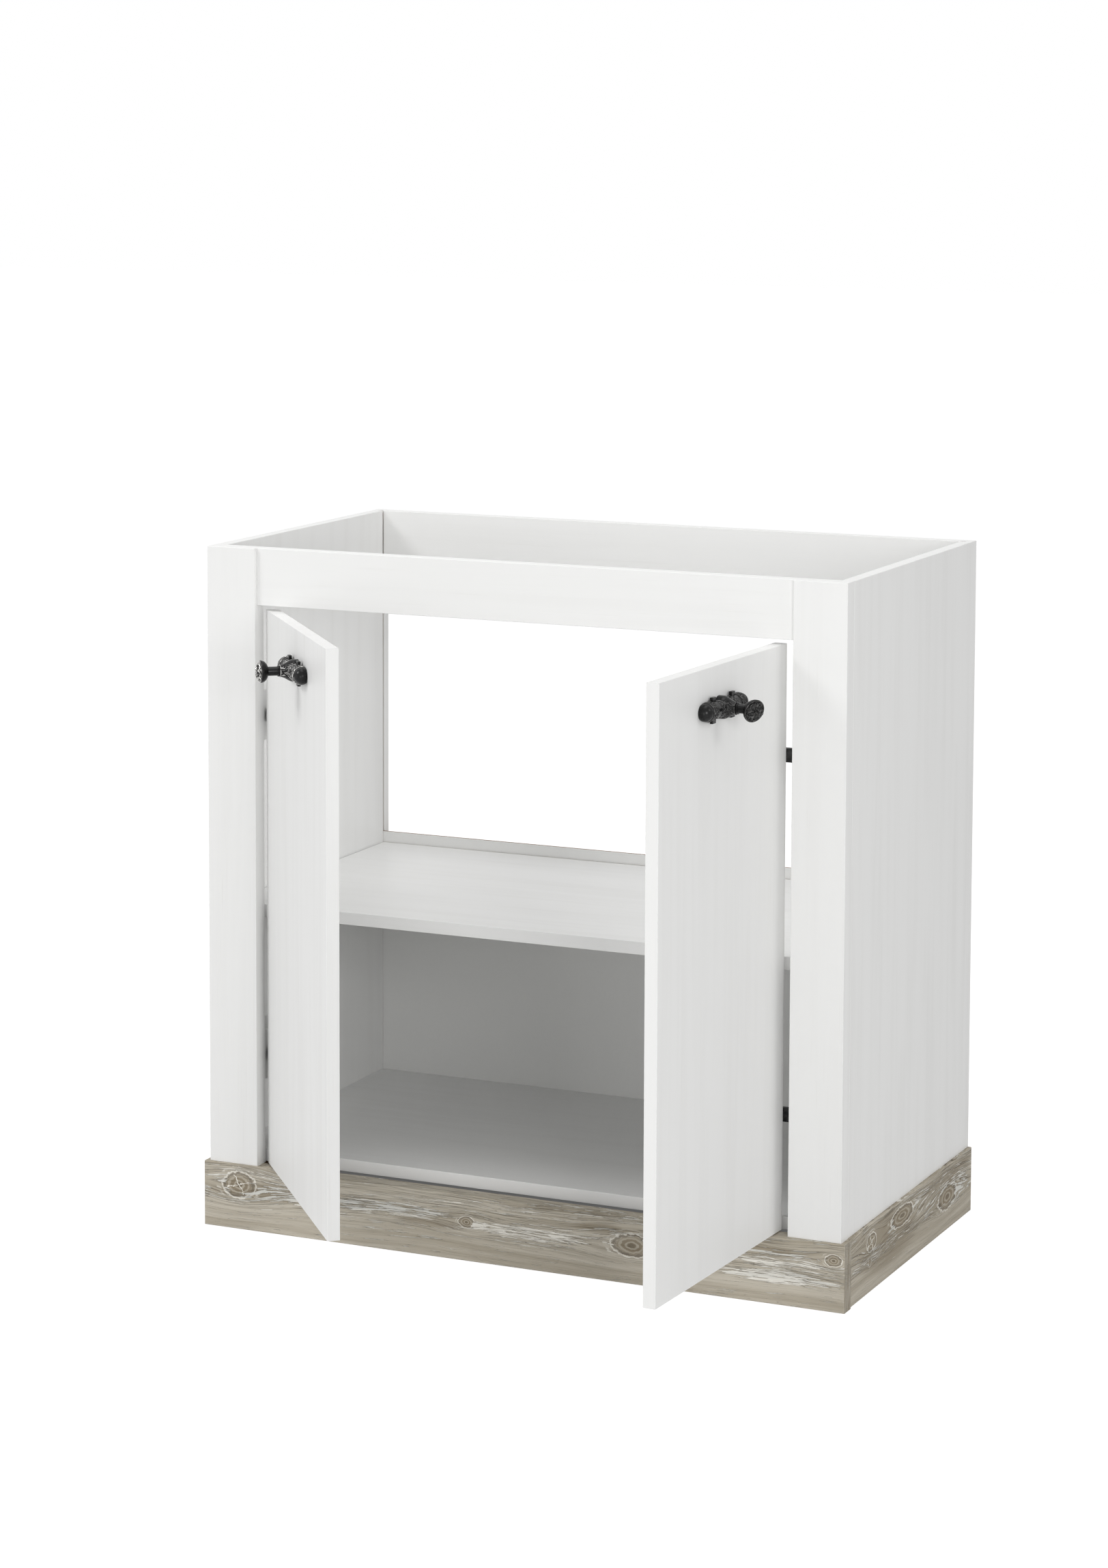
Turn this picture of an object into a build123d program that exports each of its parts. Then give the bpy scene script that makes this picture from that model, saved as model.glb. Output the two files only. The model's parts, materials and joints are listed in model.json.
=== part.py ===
import os
from math import asin, atan2, cos, degrees, hypot, sin

from build123d import *

os.makedirs("parts", exist_ok=True)

# A sink base cabinet on a plinth, in millimetres. The origin is on the floor, in the middle
# of the width, in the plane of the wall. +X is to the right, +Y into the wall, +Z up.
# Depths are counted backwards from the front face of the stiles.

# Carcass
cabinet_width = 800
carcass_depth = 449
carcass_height = 740
board = 15                    # sides, bottom, shelf, back rail and doors
frame_board = 22              # stiles and plinth
bottom_setback = 26           # front edge of the bottom board behind the stile face
shelf_setback = 26
shelf_top = 390               # above the floor
shelf_play = 1                # at each end and at the back
back_rail_height = 100
back_panel = 3
back_panel_from_rear = 13     # what stays of the side panel behind the groove
back_panel_over_shelf = 14
groove_depth = 7
groove_play = 0.2             # on each face of the back panel
groove_end_play = 1           # beside each end of the back panel

# Face frame
stile_width = 63.5
apron_height = 67.5
apron_recess = 5              # the shut doors lie as deep

# Plinth
plinth_height = 78
plinth_front_overhang = 4
plinth_side_overhang = 6
plinth_side_step = 1.5        # side boards stand back from the end of the front board
corner_block = 40
corner_block_height = 60
block_screw_in_bottom = 10    # how far the screws reach into what they hold
block_screw_in_plinth = 15
block_screw_offset = 12       # above and below the block's middle, so that they pass each other

# Doors
door_side_gap = 2.5
door_middle_gap = 2.4
door_top_gap = 6
door_bottom_gap = 1.5
left_rest_angle = 50.5        # how far each door stands open
right_rest_angle = 87.4
bumper_radius = 4
bumper_play = 0.3             # left between a closed door and its bumper
bumper_from_middle = 250

# Hinges
axis_inset = 16               # from the stile's inner edge
axis_depth = 6.2
hinge_from_door_end = 128
cup_radius = 17.5
cup_bore_depth = 12
cup_from_edge = 22.5
cup_wall = 1
cup_bottom_play = 0.5
flange_thickness = 1.2
flange_half_length = 29
flange_outward = 18           # from the cup's centre towards the hinge edge
flange_inward = 18.5
cup_screw_offset = 9.5
cup_screw_spacing = 45
cup_screw_length = 11
link_width = 5
link_half_height = 6
link_play = 0.3               # between the link's shoe and the arm's nose, and beside the ears
link_root_inward = 5.5        # from the cup's centre to the pin, towards the hinge edge
link_root_sunk = 7            # the pin below the door's back
link_bend_inward = 9.5
link_bend_proud = 3.5
link_tip_inward = 20
link_tip_proud = 7
link_pin_radius = 1.5
shoe_thickness = 4
shoe_start_angle = 108        # about the hinge axis, while the door is shut
shoe_end_angle = 125
ear_thickness = 1.5
ear_half_width = 3
nose_radius = 27.1            # inner face of the arm's nose, about the hinge axis
nose_thickness = 6
nose_end_angle = 35.5
arm_half_height = 8
arm_thickness = 8
arm_wall = 1.5
arm_back_depth = 80
plate_thickness = 3
plate_front_depth = 34
plate_back_depth = 84
plate_half_height = 9
wing_half_height = 24
wing_front_depth = 58
wing_back_depth = 72
plate_screw_offset = 17.5     # from the plate's middle height
plate_screw_in_block = 14
hinge_block_depth = 70
hinge_block_half_height = 30

# Knobs
knob_from_hinge_edge = 183
knob_from_door_top = 45.6
bar_half_length = 54
bar_radius = 10.4
bar_stand_off = 4.5           # from the door face to the bar's own axis
saddle_radius = 9.6
saddle_end = 29.5
collar_start = 32
collar_end = 41
shoulder_depth = 1            # between the collar and the dome
shoulder_start = 42
dome_start = 44
dome_radius = 10.1
boss_radius = 12.8
boss_shoulder = 2             # from the bar's axis outwards, where the boss starts to narrow
boss_reach = 17               # from the bar's axis to the boss's end
boss_end_radius = 6.3
lug_offset = 24.5
lug_width = 9
lug_thickness = 4
lug_span = 29.2
post_radius = 5.2
post_ring_radius = 6.4
post_ring_width = 1.8
post_ring_from_boss = 0.6
post_in_rosette = 3.5
knob_projection = 49
rosette_radius = 12.9
rosette_thickness = 14.2
rosette_bowl_middle = 3       # from the rosette's back
rosette_bowl_middle_radius = 10.4
rosette_bowl_depth = 8.3
rosette_rim_edge = 0.8
right_rosette_turn = 30.7     # degrees towards the door's free edge
right_rosette_dip = 14        # degrees downwards
tenon_radius = 3
tenon_half_length = 4
knob_screw_reach = 10         # in front of the door face
knob_screw_head_radius = 4.8
knob_screw_head_height = 2

# Fasteners and fits
bore_play = 0.1               # radial, round dowels, pins and screws
dowel_radius = 4
dowel_length = 30
dowel_in_side = 10
dowel_in_stile = 12
bottom_dowel_from_edge = 60   # from the stile face and from the wall
rail_dowel_drops = (20, 80)   # below the top
apron_dowel_drops = (18, 50)
stile_dowel_from_end = 60
cam_bolt_radius = 2.5
cam_bolt_in_side = 10
cam_radius = 7.5
cam_height = 12
cam_from_end = 34
bottom_cam_from_edge = 110
rail_cam_drop = 50
shelf_pin_radius = 2.5
shelf_pin_in_side = 10
shelf_pin_out = 9
shelf_pin_plate = 3
shelf_pin_plate_overhang = 1.5
shelf_pin_from_edge = 70
screw_radius = 2
screw_head_radius = 3.8
screw_head_height = 1.5
wall_hole_radius = 3
wall_hole_spacing = 600
wall_hole_below_top = 65

# Worked out from the sizes above
half_width = cabinet_width / 2
inner_half = half_width - board
opening_half = half_width - stile_width
carcass_bottom = plinth_height
carcass_top = plinth_height + carcass_height
panel_front = carcass_depth - back_panel_from_rear - back_panel
plinth_half = half_width + plinth_side_overhang
plinth_side_outer = plinth_half - plinth_side_step
plinth_side_inner = plinth_side_outer - frame_board
plinth_front = -plinth_front_overhang
plinth_behind_front = plinth_front + frame_board
door_top = carcass_top - apron_height - door_top_gap
door_bottom = carcass_bottom + door_bottom_gap
door_width = (2 * opening_half - 2 * door_side_gap - door_middle_gap) / 2
door_edge = -opening_half + door_side_gap
door_recess = apron_recess
door_back = door_recess + board
axis_x = -opening_half + axis_inset
cup_x = door_edge + cup_from_edge
plate_face = -opening_half
block_face = plate_face - plate_thickness
hinge_heights = {"upper": door_top - hinge_from_door_end, "lower": door_bottom + hinge_from_door_end}
arm_outer = plate_face + arm_thickness
arm_screw_depth = (wing_front_depth + wing_back_depth) / 2
link_root = (cup_x - link_root_inward, door_back - link_root_sunk)
link_bend = (cup_x - link_bend_inward, door_back + link_bend_proud)
link_tip = (cup_x - link_tip_inward, door_back + link_tip_proud)
knob_x = door_edge + knob_from_hinge_edge
knob_z = door_top - knob_from_door_top
bar_depth = door_recess - bar_stand_off
boss_end = bar_depth - boss_reach
knob_screw_end = door_recess - knob_screw_reach
rosette_root = door_recess - knob_projection + rosette_thickness
board_middle = board / 2


def slab(x0, x1, depth0, depth1, z0, z1):
    """A box between two corners, with depths counted from the stile face."""
    size = Box(x1 - x0, depth1 - depth0, z1 - z0)
    return Pos((x0 + x1) / 2, (depth0 + depth1) / 2 - carcass_depth, (z0 + z1) / 2) * size


def rod_x(x0, x1, depth, z, radius):
    """A cylinder along the width."""
    turned = Rot(0, 90, 0) * Cylinder(radius, abs(x1 - x0))
    return Pos((x0 + x1) / 2, depth - carcass_depth, z) * turned


def rod_y(depth0, depth1, x, z, radius):
    """A cylinder along the depth."""
    turned = Rot(90, 0, 0) * Cylinder(radius, abs(depth1 - depth0))
    return Pos(x, (depth0 + depth1) / 2 - carcass_depth, z) * turned


def rod_z(z0, z1, x, depth, radius):
    """An upright cylinder."""
    return Pos(x, depth - carcass_depth, (z0 + z1) / 2) * Cylinder(radius, abs(z1 - z0))


def capsule(start, end, width, z0, z1):
    """An upright strap with round ends, from one (x, depth) point to another."""
    length = hypot(end[0] - start[0], end[1] - start[1])
    middle = ((start[0] + end[0]) / 2, (start[1] + end[1]) / 2 - carcass_depth)
    heading = degrees(atan2(end[1] - start[1], end[0] - start[0]))
    flat = Rot(0, 0, heading) * SlotCenterToCenter(length, width)
    return extrude(Pos(middle[0], middle[1], z0) * flat, z1 - z0)


def ring_sector(inner, outer, start_angle, end_angle, z0, z1):
    """Part of a ring about the hinge axis, with angles turned from +X towards the wall."""
    sweep = end_angle - start_angle
    inner_arc = CenterArc((0, 0), inner, start_angle, sweep)
    outer_arc = CenterArc((0, 0), outer, start_angle, sweep)
    sides = Line(inner_arc @ 0, outer_arc @ 0) + Line(inner_arc @ 1, outer_arc @ 1)
    flat = make_face(inner_arc + outer_arc + sides)
    return extrude(Pos(axis_x, axis_depth - carcass_depth, z0) * flat, z1 - z0)


def dome_arc(rim_along, rim_radius, tip):
    """An arc about a centre on the turning axis, from a rim to the tip on that axis."""
    centre = (tip ** 2 - rim_along ** 2 - rim_radius ** 2) / (2 * (tip - rim_along))
    radius = tip - centre
    half_angle = asin(rim_radius / radius) / 2
    middle = (centre + radius * cos(half_angle), radius * sin(half_angle))
    return ThreePointArc((rim_along, rim_radius), middle, (tip, 0))


def from_both_ends(distance):
    """Two depths, as far from the stile face as from the wall."""
    return distance, carcass_depth - distance


def mirrored(shape):
    return mirror(shape, about=Plane.YZ)


def both_sides(shapes):
    return list(shapes) + [mirrored(shape) for shape in shapes]


def swung(shape, side):
    """Turn a door piece, modelled shut on the left, to where it stands open."""
    if side == "right":
        shape = mirrored(shape)
    x = axis_x if side == "left" else -axis_x
    angle = -left_rest_angle if side == "left" else right_rest_angle
    y = axis_depth - carcass_depth
    return Pos(x, y, 0) * Rot(0, 0, angle) * Pos(-x, -y, 0) * shape


def save(name, shapes):
    """Write one node, as one solid or as a group of separate solids."""
    shapes = shapes if isinstance(shapes, list) else [shapes]
    solids = [solid for shape in shapes for solid in shape.solids()]
    node = solids[0] if len(solids) == 1 else Compound(solids)
    export_step(node, f"parts/{name}.step")


# Dowels, cams and shelf pins: each is given for the left side and cut out with some play.

def dowels(play=0.0):
    radius = dowel_radius + play
    start, end = -inner_half - dowel_in_side, -inner_half - dowel_in_side + dowel_length
    bottom_z = carcass_bottom + board_middle
    rail_depth = carcass_depth - board_middle
    rods = [rod_x(start, end, depth, bottom_z, radius) for depth in from_both_ends(bottom_dowel_from_edge)]
    rods += [rod_x(start, end, rail_depth, carcass_top - drop, radius) for drop in rail_dowel_drops]
    stile_x = -half_width + board_middle
    stile_start = frame_board - dowel_in_stile
    middle = (carcass_bottom + carcass_top) / 2
    heights = (carcass_bottom + stile_dowel_from_end, middle, carcass_top - stile_dowel_from_end)
    rods += [rod_y(stile_start, stile_start + dowel_length, stile_x, z, radius) for z in heights]
    depth = (apron_recess + frame_board) / 2
    start, end = -opening_half - dowel_length / 2, -opening_half + dowel_length / 2
    rods += [rod_x(start, end, depth, carcass_top - drop, radius) for drop in apron_dowel_drops]
    return rods


def cam_bolts(play=0.0):
    radius = cam_bolt_radius + play
    start, end = -inner_half - cam_bolt_in_side, -inner_half + cam_from_end
    z = carcass_bottom + board_middle
    bolts = [rod_x(start, end, depth, z, radius) for depth in from_both_ends(bottom_cam_from_edge)]
    bolts.append(rod_x(start, end, carcass_depth - board_middle, carcass_top - rail_cam_drop, radius))
    return bolts


def cams(play=0.0):
    radius = cam_radius + play
    x = -inner_half + cam_from_end
    top = carcass_bottom + cam_height
    locks = [rod_z(carcass_bottom, top, x, depth, radius) for depth in from_both_ends(bottom_cam_from_edge)]
    locks.append(rod_y(carcass_depth - cam_height, carcass_depth, x, carcass_top - rail_cam_drop, radius))
    return locks


def shelf_pins(play=0.0):
    underside = shelf_top - board
    start, end = -inner_half - shelf_pin_in_side, -inner_half + shelf_pin_out
    pins = []
    for depth in from_both_ends(shelf_pin_from_edge):
        z = underside - shelf_pin_radius
        pin = rod_x(start, end, depth, z, shelf_pin_radius + play)
        if not play:
            width = shelf_pin_radius + shelf_pin_plate_overhang
            pin += slab(-inner_half, end, depth - width, depth + width,
                        underside - shelf_pin_plate, underside)
        pins.append(pin)
    return pins


def side_panel():
    panel = slab(-half_width, -inner_half, frame_board, carcass_depth, carcass_bottom, carcass_top)
    panel -= slab(-inner_half - groove_depth, -inner_half, panel_front - groove_play,
                  panel_front + back_panel + groove_play, carcass_bottom, carcass_top)
    for hole in dowels(bore_play) + cam_bolts(bore_play) + shelf_pins(bore_play):
        panel -= hole
    return panel


def bottom_board():
    panel = slab(-inner_half, inner_half, bottom_setback, panel_front, carcass_bottom, carcass_bottom + board)
    holes = dowels(bore_play) + cam_bolts(bore_play) + cams(bore_play) + block_screws(bore_play)
    for hole in both_sides(holes):
        panel -= hole
    return panel


def shelf():
    half = inner_half - shelf_play
    return slab(-half, half, shelf_setback, panel_front - shelf_play, shelf_top - board, shelf_top)


def lower_back_panel():
    half = inner_half + groove_depth - groove_end_play
    top = shelf_top + back_panel_over_shelf
    return slab(-half, half, panel_front, panel_front + back_panel, carcass_bottom, top)


def back_rail():
    rail = slab(-inner_half, inner_half, carcass_depth - board, carcass_depth,
                carcass_top - back_rail_height, carcass_top)
    for hole in both_sides(dowels(bore_play) + cam_bolts(bore_play) + cams(bore_play)):
        rail -= hole
    z = carcass_top - wall_hole_below_top
    for x in (-wall_hole_spacing / 2, wall_hole_spacing / 2):
        rail -= rod_y(carcass_depth - board, carcass_depth, x, z, wall_hole_radius)
    return rail


def stile():
    post = slab(-half_width, -opening_half, 0, frame_board, carcass_bottom, carcass_top)
    for hole in dowels(bore_play):
        post -= hole
    return post


def apron():
    rail = slab(-opening_half, opening_half, apron_recess, frame_board,
                carcass_top - apron_height, carcass_top)
    for hole in both_sides(dowels(bore_play)):
        rail -= hole
    return rail


# Plinth

def block_screws(play=0.0):
    """Screws up through the corner blocks, and outwards into the plinth boards."""
    radius = screw_radius + play
    foot, head = plinth_height - corner_block_height, plinth_height + block_screw_in_bottom
    z = plinth_height - corner_block_height / 2
    screws = []
    for name, (x, depth) in block_centres().items():
        screws.append(rod_z(foot, head, x, depth, radius))
        half = corner_block / 2
        outer = -plinth_side_inner - block_screw_in_plinth
        screws.append(rod_x(outer, x + half, depth, z - block_screw_offset, radius))
        way = 1 if name == "rear" else -1
        end = depth + way * (half + block_screw_in_plinth)
        screws.append(rod_y(depth - way * half, end, x, z + block_screw_offset, radius))
    return screws


def block_centres():
    x = -plinth_side_inner + corner_block / 2
    front = plinth_behind_front + corner_block / 2
    rear = carcass_depth - frame_board - corner_block / 2
    return {"front": (x, front), "rear": (x, rear)}


def corner_blocks():
    blocks = {}
    half = corner_block / 2
    for name, (x, depth) in block_centres().items():
        block = slab(x - half, x + half, depth - half, depth + half,
                     plinth_height - corner_block_height, plinth_height)
        for hole in block_screws(bore_play):
            block -= hole
        blocks[name] = block
    return blocks


def plinth_front_board():
    plank = slab(-plinth_half, plinth_half, plinth_front, plinth_behind_front, 0, plinth_height)
    for hole in both_sides(block_screws(bore_play)):
        plank -= hole
    return plank


def plinth_side_board():
    plank = slab(-plinth_side_outer, -plinth_side_inner, plinth_behind_front, carcass_depth, 0, plinth_height)
    for hole in block_screws(bore_play):
        plank -= hole
    return plank


def plinth_rear_rail():
    plank = slab(-plinth_side_inner, plinth_side_inner, carcass_depth - frame_board, carcass_depth,
                 0, plinth_height)
    for hole in both_sides(block_screws(bore_play)):
        plank -= hole
    return plank


# Hinges: all are modelled for the left door while it is shut.

def hinge_block(z):
    """The wooden block behind the stile that carries the mounting plate."""
    block = slab(-inner_half, block_face, frame_board, frame_board + hinge_block_depth,
                 z - hinge_block_half_height, z + hinge_block_half_height)
    for hole in plate_screws(z, bore_play):
        block -= hole
    return block


def mounting_plate(z):
    plate = slab(block_face, plate_face, plate_front_depth, plate_back_depth,
                 z - plate_half_height, z + plate_half_height)
    plate += slab(block_face, plate_face, wing_front_depth, wing_back_depth,
                  z - wing_half_height, z + wing_half_height)
    for hole in plate_screws(z, bore_play) + [arm_screw(z, bore_play)]:
        plate -= hole
    return plate


def plate_screws(z, play=0.0):
    screws = []
    for height in (z - plate_screw_offset, z + plate_screw_offset):
        start = block_face - plate_screw_in_block
        screw = rod_x(start, plate_face, arm_screw_depth, height, screw_radius + play)
        if not play:
            head_end = plate_face + screw_head_height
            screw += rod_x(plate_face, head_end, arm_screw_depth, height, screw_head_radius)
        screws.append(screw)
    return screws


def arm_screw(z, play=0.0):
    screw = rod_x(block_face, arm_outer, arm_screw_depth, z, screw_radius + play)
    if not play:
        screw += rod_x(arm_outer, arm_outer + screw_head_height, arm_screw_depth, z, screw_head_radius)
    return screw


def around_axis(radius, z0, z1):
    return rod_z(z0, z1, axis_x, axis_depth, radius)


def hinge_arm(z):
    """The arm on the mounting plate, with a curved nose that keeps clear of the swinging door."""
    low, high = z - arm_half_height, z + arm_half_height
    outer_radius = nose_radius + nose_thickness
    nose = ring_sector(nose_radius, outer_radius, nose_end_angle, 180, low, high)
    nose &= slab(plate_face, axis_x + outer_radius, axis_depth, axis_depth + outer_radius, low, high)
    channel = slab(plate_face, arm_outer, axis_depth, arm_back_depth, low, high)
    channel -= slab(plate_face, arm_outer - arm_wall, plate_front_depth + arm_thickness, arm_back_depth,
                    low + arm_wall, high - arm_wall)
    channel -= around_axis(nose_radius, low, high)
    return channel + nose - arm_screw(z, bore_play)


def cup_screws(z, play=0.0):
    x = cup_x + cup_screw_offset
    screws = []
    for height in (z - cup_screw_spacing / 2, z + cup_screw_spacing / 2):
        surface = door_back + flange_thickness
        screw = rod_y(door_back - cup_screw_length, surface, x, height, screw_radius + play)
        if not play:
            screw += rod_y(surface, surface + screw_head_height, x, height, screw_head_radius)
        screws.append(screw)
    return screws


def link_pin(z, play=0.0):
    reach = link_half_height + link_play + ear_thickness
    return rod_z(z - reach, z + reach, link_root[0], link_root[1], link_pin_radius + play)


def hinge_cup(z):
    """The round cup in the door's back, with its flange and the two ears that hold the link."""
    floor = door_back - cup_bore_depth + cup_bottom_play
    cup = rod_y(floor, door_back, cup_x, z, cup_radius - bore_play)
    cup += slab(cup_x - flange_outward, cup_x + flange_inward, door_back, door_back + flange_thickness,
                z - flange_half_length, z + flange_half_length)
    cup -= rod_y(floor + cup_wall, door_back + flange_thickness, cup_x, z, cup_radius - bore_play - cup_wall)
    ear_start = link_half_height + link_play
    for way in (-1, 1):
        near, far = z + way * ear_start, z + way * (ear_start + ear_thickness)
        cup += slab(link_root[0] - ear_half_width, link_root[0] + ear_half_width, floor,
                    link_root[1] + ear_half_width, min(near, far), max(near, far))
    for hole in cup_screws(z, bore_play) + [link_pin(z, bore_play / 2)]:
        cup -= hole
    return cup


def hinge_link(z):
    """The bent link that rises from the cup and ends in a shoe that runs under the arm's nose."""
    low, high = z - link_half_height, z + link_half_height
    shoe_radius = nose_radius - link_play
    link = capsule(link_root, link_bend, link_width, low, high)
    link += capsule(link_bend, link_tip, link_width, low, high)
    link &= around_axis(shoe_radius, low, high)
    link += ring_sector(shoe_radius - shoe_thickness, shoe_radius, shoe_start_angle, shoe_end_angle,
                        low, high)
    return link + link_pin(z)


# Doors and knobs, modelled for the left door while it is shut.

def door_panel():
    panel = slab(door_edge, door_edge + door_width, door_recess, door_back, door_bottom, door_top)
    for z in hinge_heights.values():
        panel -= rod_y(door_back - cup_bore_depth, door_back, cup_x, z, cup_radius)
        for hole in cup_screws(z, bore_play):
            panel -= hole
    return panel - knob_screw(bore_play)


def knob_screw(play=0.0):
    screw = rod_y(knob_screw_end - play, door_back, knob_x, knob_z, screw_radius + play)
    if not play:
        screw += rod_y(door_back, door_back + knob_screw_head_height, knob_x, knob_z, knob_screw_head_radius)
    return screw


def bar_profile():
    """Half of the bar's outline, from the middle to the domed end."""
    shoulder = bar_radius - shoulder_depth
    line = Polyline((0, 0), (0, saddle_radius), (saddle_end, saddle_radius), (collar_start, bar_radius),
                    (collar_end, bar_radius), (shoulder_start, shoulder), (dome_start, shoulder),
                    (dome_start, dome_radius))
    dome = dome_arc(dome_start, dome_radius, bar_half_length)
    return make_face(line + dome + Line((bar_half_length, 0), (0, 0)))


def knob_boss():
    """The thick middle of the bar, which narrows towards the post."""
    shoulder = bar_depth - boss_shoulder
    length = boss_reach - boss_shoulder
    cone = Rot(90, 0, 0) * Cone(boss_radius, boss_end_radius, length)
    boss = Pos(knob_x, shoulder - length / 2 - carcass_depth, knob_z) * cone
    return boss + rod_y(shoulder, door_recess, knob_x, knob_z, boss_radius)


def knob_bar():
    """A round bar with a flat back, two lugs and a boss."""
    half = revolve(bar_profile(), Axis.X)
    bar = half + mirrored(half)
    for way in (-1, 1):
        bar += Pos(way * lug_offset, 0, 0) * Box(lug_width, lug_thickness, lug_span)
    bar = Pos(knob_x, bar_depth - carcass_depth, knob_z) * bar
    bar += knob_boss()
    bar -= slab(knob_x - bar_half_length, knob_x + bar_half_length, door_recess, door_recess + bar_radius,
                knob_z - bar_radius, knob_z + bar_radius)
    bar -= knob_screw(bore_play)
    return bar - knob_tenon(boss_end, bore_play)


def knob_tenon(depth, play=0.0):
    reach = tenon_half_length + play
    return rod_y(depth - reach, depth + reach, knob_x, knob_z, tenon_radius + play)


def post_rod(play=0.0):
    start = rosette_root - post_in_rosette - play
    return rod_y(start, boss_end, knob_x, knob_z, post_radius + play)


def knob_post():
    ring_start = boss_end - post_ring_from_boss
    ring = rod_y(ring_start - post_ring_width, ring_start, knob_x, knob_z, post_ring_radius)
    return post_rod() + ring + knob_tenon(boss_end)


def knob_rosette(turn, dip):
    """A bowl with a rounded rim and a domed face, which may be turned and dipped on its post."""
    rim_start = (rosette_bowl_depth, rosette_radius)
    rim_end = (rosette_bowl_depth + rosette_rim_edge, rosette_radius - rosette_rim_edge)
    bowl = ThreePointArc((0, post_radius), (rosette_bowl_middle, rosette_bowl_middle_radius), rim_start)
    outline = Line((0, 0), (0, post_radius)) + bowl + Line(rim_start, rim_end)
    face = dome_arc(rim_end[0], rim_end[1], rosette_thickness)
    head = revolve(make_face(outline + face + Line((rosette_thickness, 0), (0, 0))), Axis.X)
    head = Rot(0, 0, turn) * Rot(dip, 0, 0) * Rot(0, 0, -90) * Pos(-post_in_rosette, 0, 0) * head
    head = Pos(knob_x, rosette_root - post_in_rosette - carcass_depth, knob_z) * head
    return head - post_rod(bore_play)


def door_bumpers():
    end = door_back + bumper_play
    z = carcass_bottom + board_middle
    places = (-bumper_from_middle, bumper_from_middle)
    return [rod_y(end, bottom_setback, x, z, bumper_radius) for x in places]


def build_carcass():
    for side in ("left", "right"):
        place = mirrored if side == "right" else (lambda shape: shape)
        save(f"{side}_side_panel", place(side_panel()))
        save(f"{side}_stile", place(stile()))
        save(f"plinth_{side}_board", place(plinth_side_board()))
        for name, block in corner_blocks().items():
            save(f"plinth_{side}_{name}_corner_block", place(block))
        for name, z in hinge_heights.items():
            save(f"{side}_{name}_hinge_block", place(hinge_block(z)))
            save(f"{side}_{name}_hinge_plate", place(mounting_plate(z)))
            save(f"{side}_{name}_hinge_arm", place(hinge_arm(z)))
    save("bottom_board", bottom_board())
    save("shelf", shelf())
    save("lower_back_panel", lower_back_panel())
    save("top_back_rail", back_rail())
    save("apron", apron())
    save("plinth_front_board", plinth_front_board())
    save("plinth_rear_rail", plinth_rear_rail())
    save("wood_dowels", both_sides(dowels()))
    save("cam_bolts", both_sides(cam_bolts()))
    save("cam_locks", both_sides([lock - bolt for lock, bolt in zip(cams(), cam_bolts(bore_play))]))
    save("shelf_pins", both_sides(shelf_pins()))
    save("corner_block_screws", both_sides(block_screws()))
    screws = []
    for z in hinge_heights.values():
        screws += plate_screws(z) + [arm_screw(z)]
    save("hinge_plate_screws", both_sides(screws))
    save("door_bumpers", door_bumpers())


def build_door(side):
    save(f"{side}_door_panel", swung(door_panel(), side))
    screws = []
    for name, z in hinge_heights.items():
        save(f"{side}_{name}_hinge_cup", swung(hinge_cup(z), side))
        save(f"{side}_{name}_hinge_link", swung(hinge_link(z), side))
        screws += cup_screws(z)
    save(f"{side}_cup_screws", [swung(screw, side) for screw in screws])
    save(f"{side}_knob_bar", swung(knob_bar(), side))
    save(f"{side}_knob_post", swung(knob_post(), side))
    turn, dip = (right_rosette_turn, right_rosette_dip) if side == "right" else (0, 0)
    save(f"{side}_knob_rosette", swung(knob_rosette(turn, dip), side))
    save(f"{side}_knob_screw", swung(knob_screw(), side))


build_carcass()
for door_side in ("left", "right"):
    build_door(door_side)
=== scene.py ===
import json
import math

import bmesh
import bpy
import numpy as np
from mathutils import Matrix, Vector


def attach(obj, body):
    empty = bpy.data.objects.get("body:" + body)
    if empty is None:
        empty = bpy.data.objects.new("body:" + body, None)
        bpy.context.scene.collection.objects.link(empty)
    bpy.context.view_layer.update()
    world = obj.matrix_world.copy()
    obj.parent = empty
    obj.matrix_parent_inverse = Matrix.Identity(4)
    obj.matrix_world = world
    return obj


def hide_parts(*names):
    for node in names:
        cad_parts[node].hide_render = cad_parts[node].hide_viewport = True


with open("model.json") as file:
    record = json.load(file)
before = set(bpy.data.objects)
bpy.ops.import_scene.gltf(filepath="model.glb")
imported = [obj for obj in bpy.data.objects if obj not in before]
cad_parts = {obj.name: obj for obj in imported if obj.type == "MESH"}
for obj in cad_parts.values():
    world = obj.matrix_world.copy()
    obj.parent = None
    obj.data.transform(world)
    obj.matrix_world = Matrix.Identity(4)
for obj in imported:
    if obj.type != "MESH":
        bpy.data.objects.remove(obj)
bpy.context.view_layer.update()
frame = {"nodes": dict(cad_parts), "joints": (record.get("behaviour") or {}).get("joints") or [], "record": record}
cadNodes = frame["nodes"]
print("frame in, with", len(cadNodes), "nodes")


# Small helpers for node trees

# An output of a node that can be reckoned with: each sum adds a math node to its tree
class Wire:
    def __init__(self, tree, socket):
        self.tree = tree
        self.socket = socket

    def __add__(self, other):
        return calc("ADD", self, other)

    def __sub__(self, other):
        return calc("SUBTRACT", self, other)

    def __rsub__(self, other):
        return calc("SUBTRACT", other, self)

    def __mul__(self, other):
        return calc("MULTIPLY", self, other)

    def __truediv__(self, other):
        return calc("DIVIDE", self, other)

    def __abs__(self):
        return calc("ABSOLUTE", self)


def feed(socket, value):
    if isinstance(value, Wire):
        value.tree.links.new(value.socket, socket)
    else:
        socket.default_value = value


def put(tree, kind, feeds=None, **settings):
    node = tree.nodes.new(kind)
    for name, value in settings.items():
        setattr(node, name, value)
    for name, value in (feeds or {}).items():
        feed(node.inputs[name], value)
    return node


def outputOf(tree, node, name=0):
    return Wire(tree, node.outputs[name])


def outputsOf(tree, node):
    return {socket.name: Wire(tree, socket) for socket in node.outputs}


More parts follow.
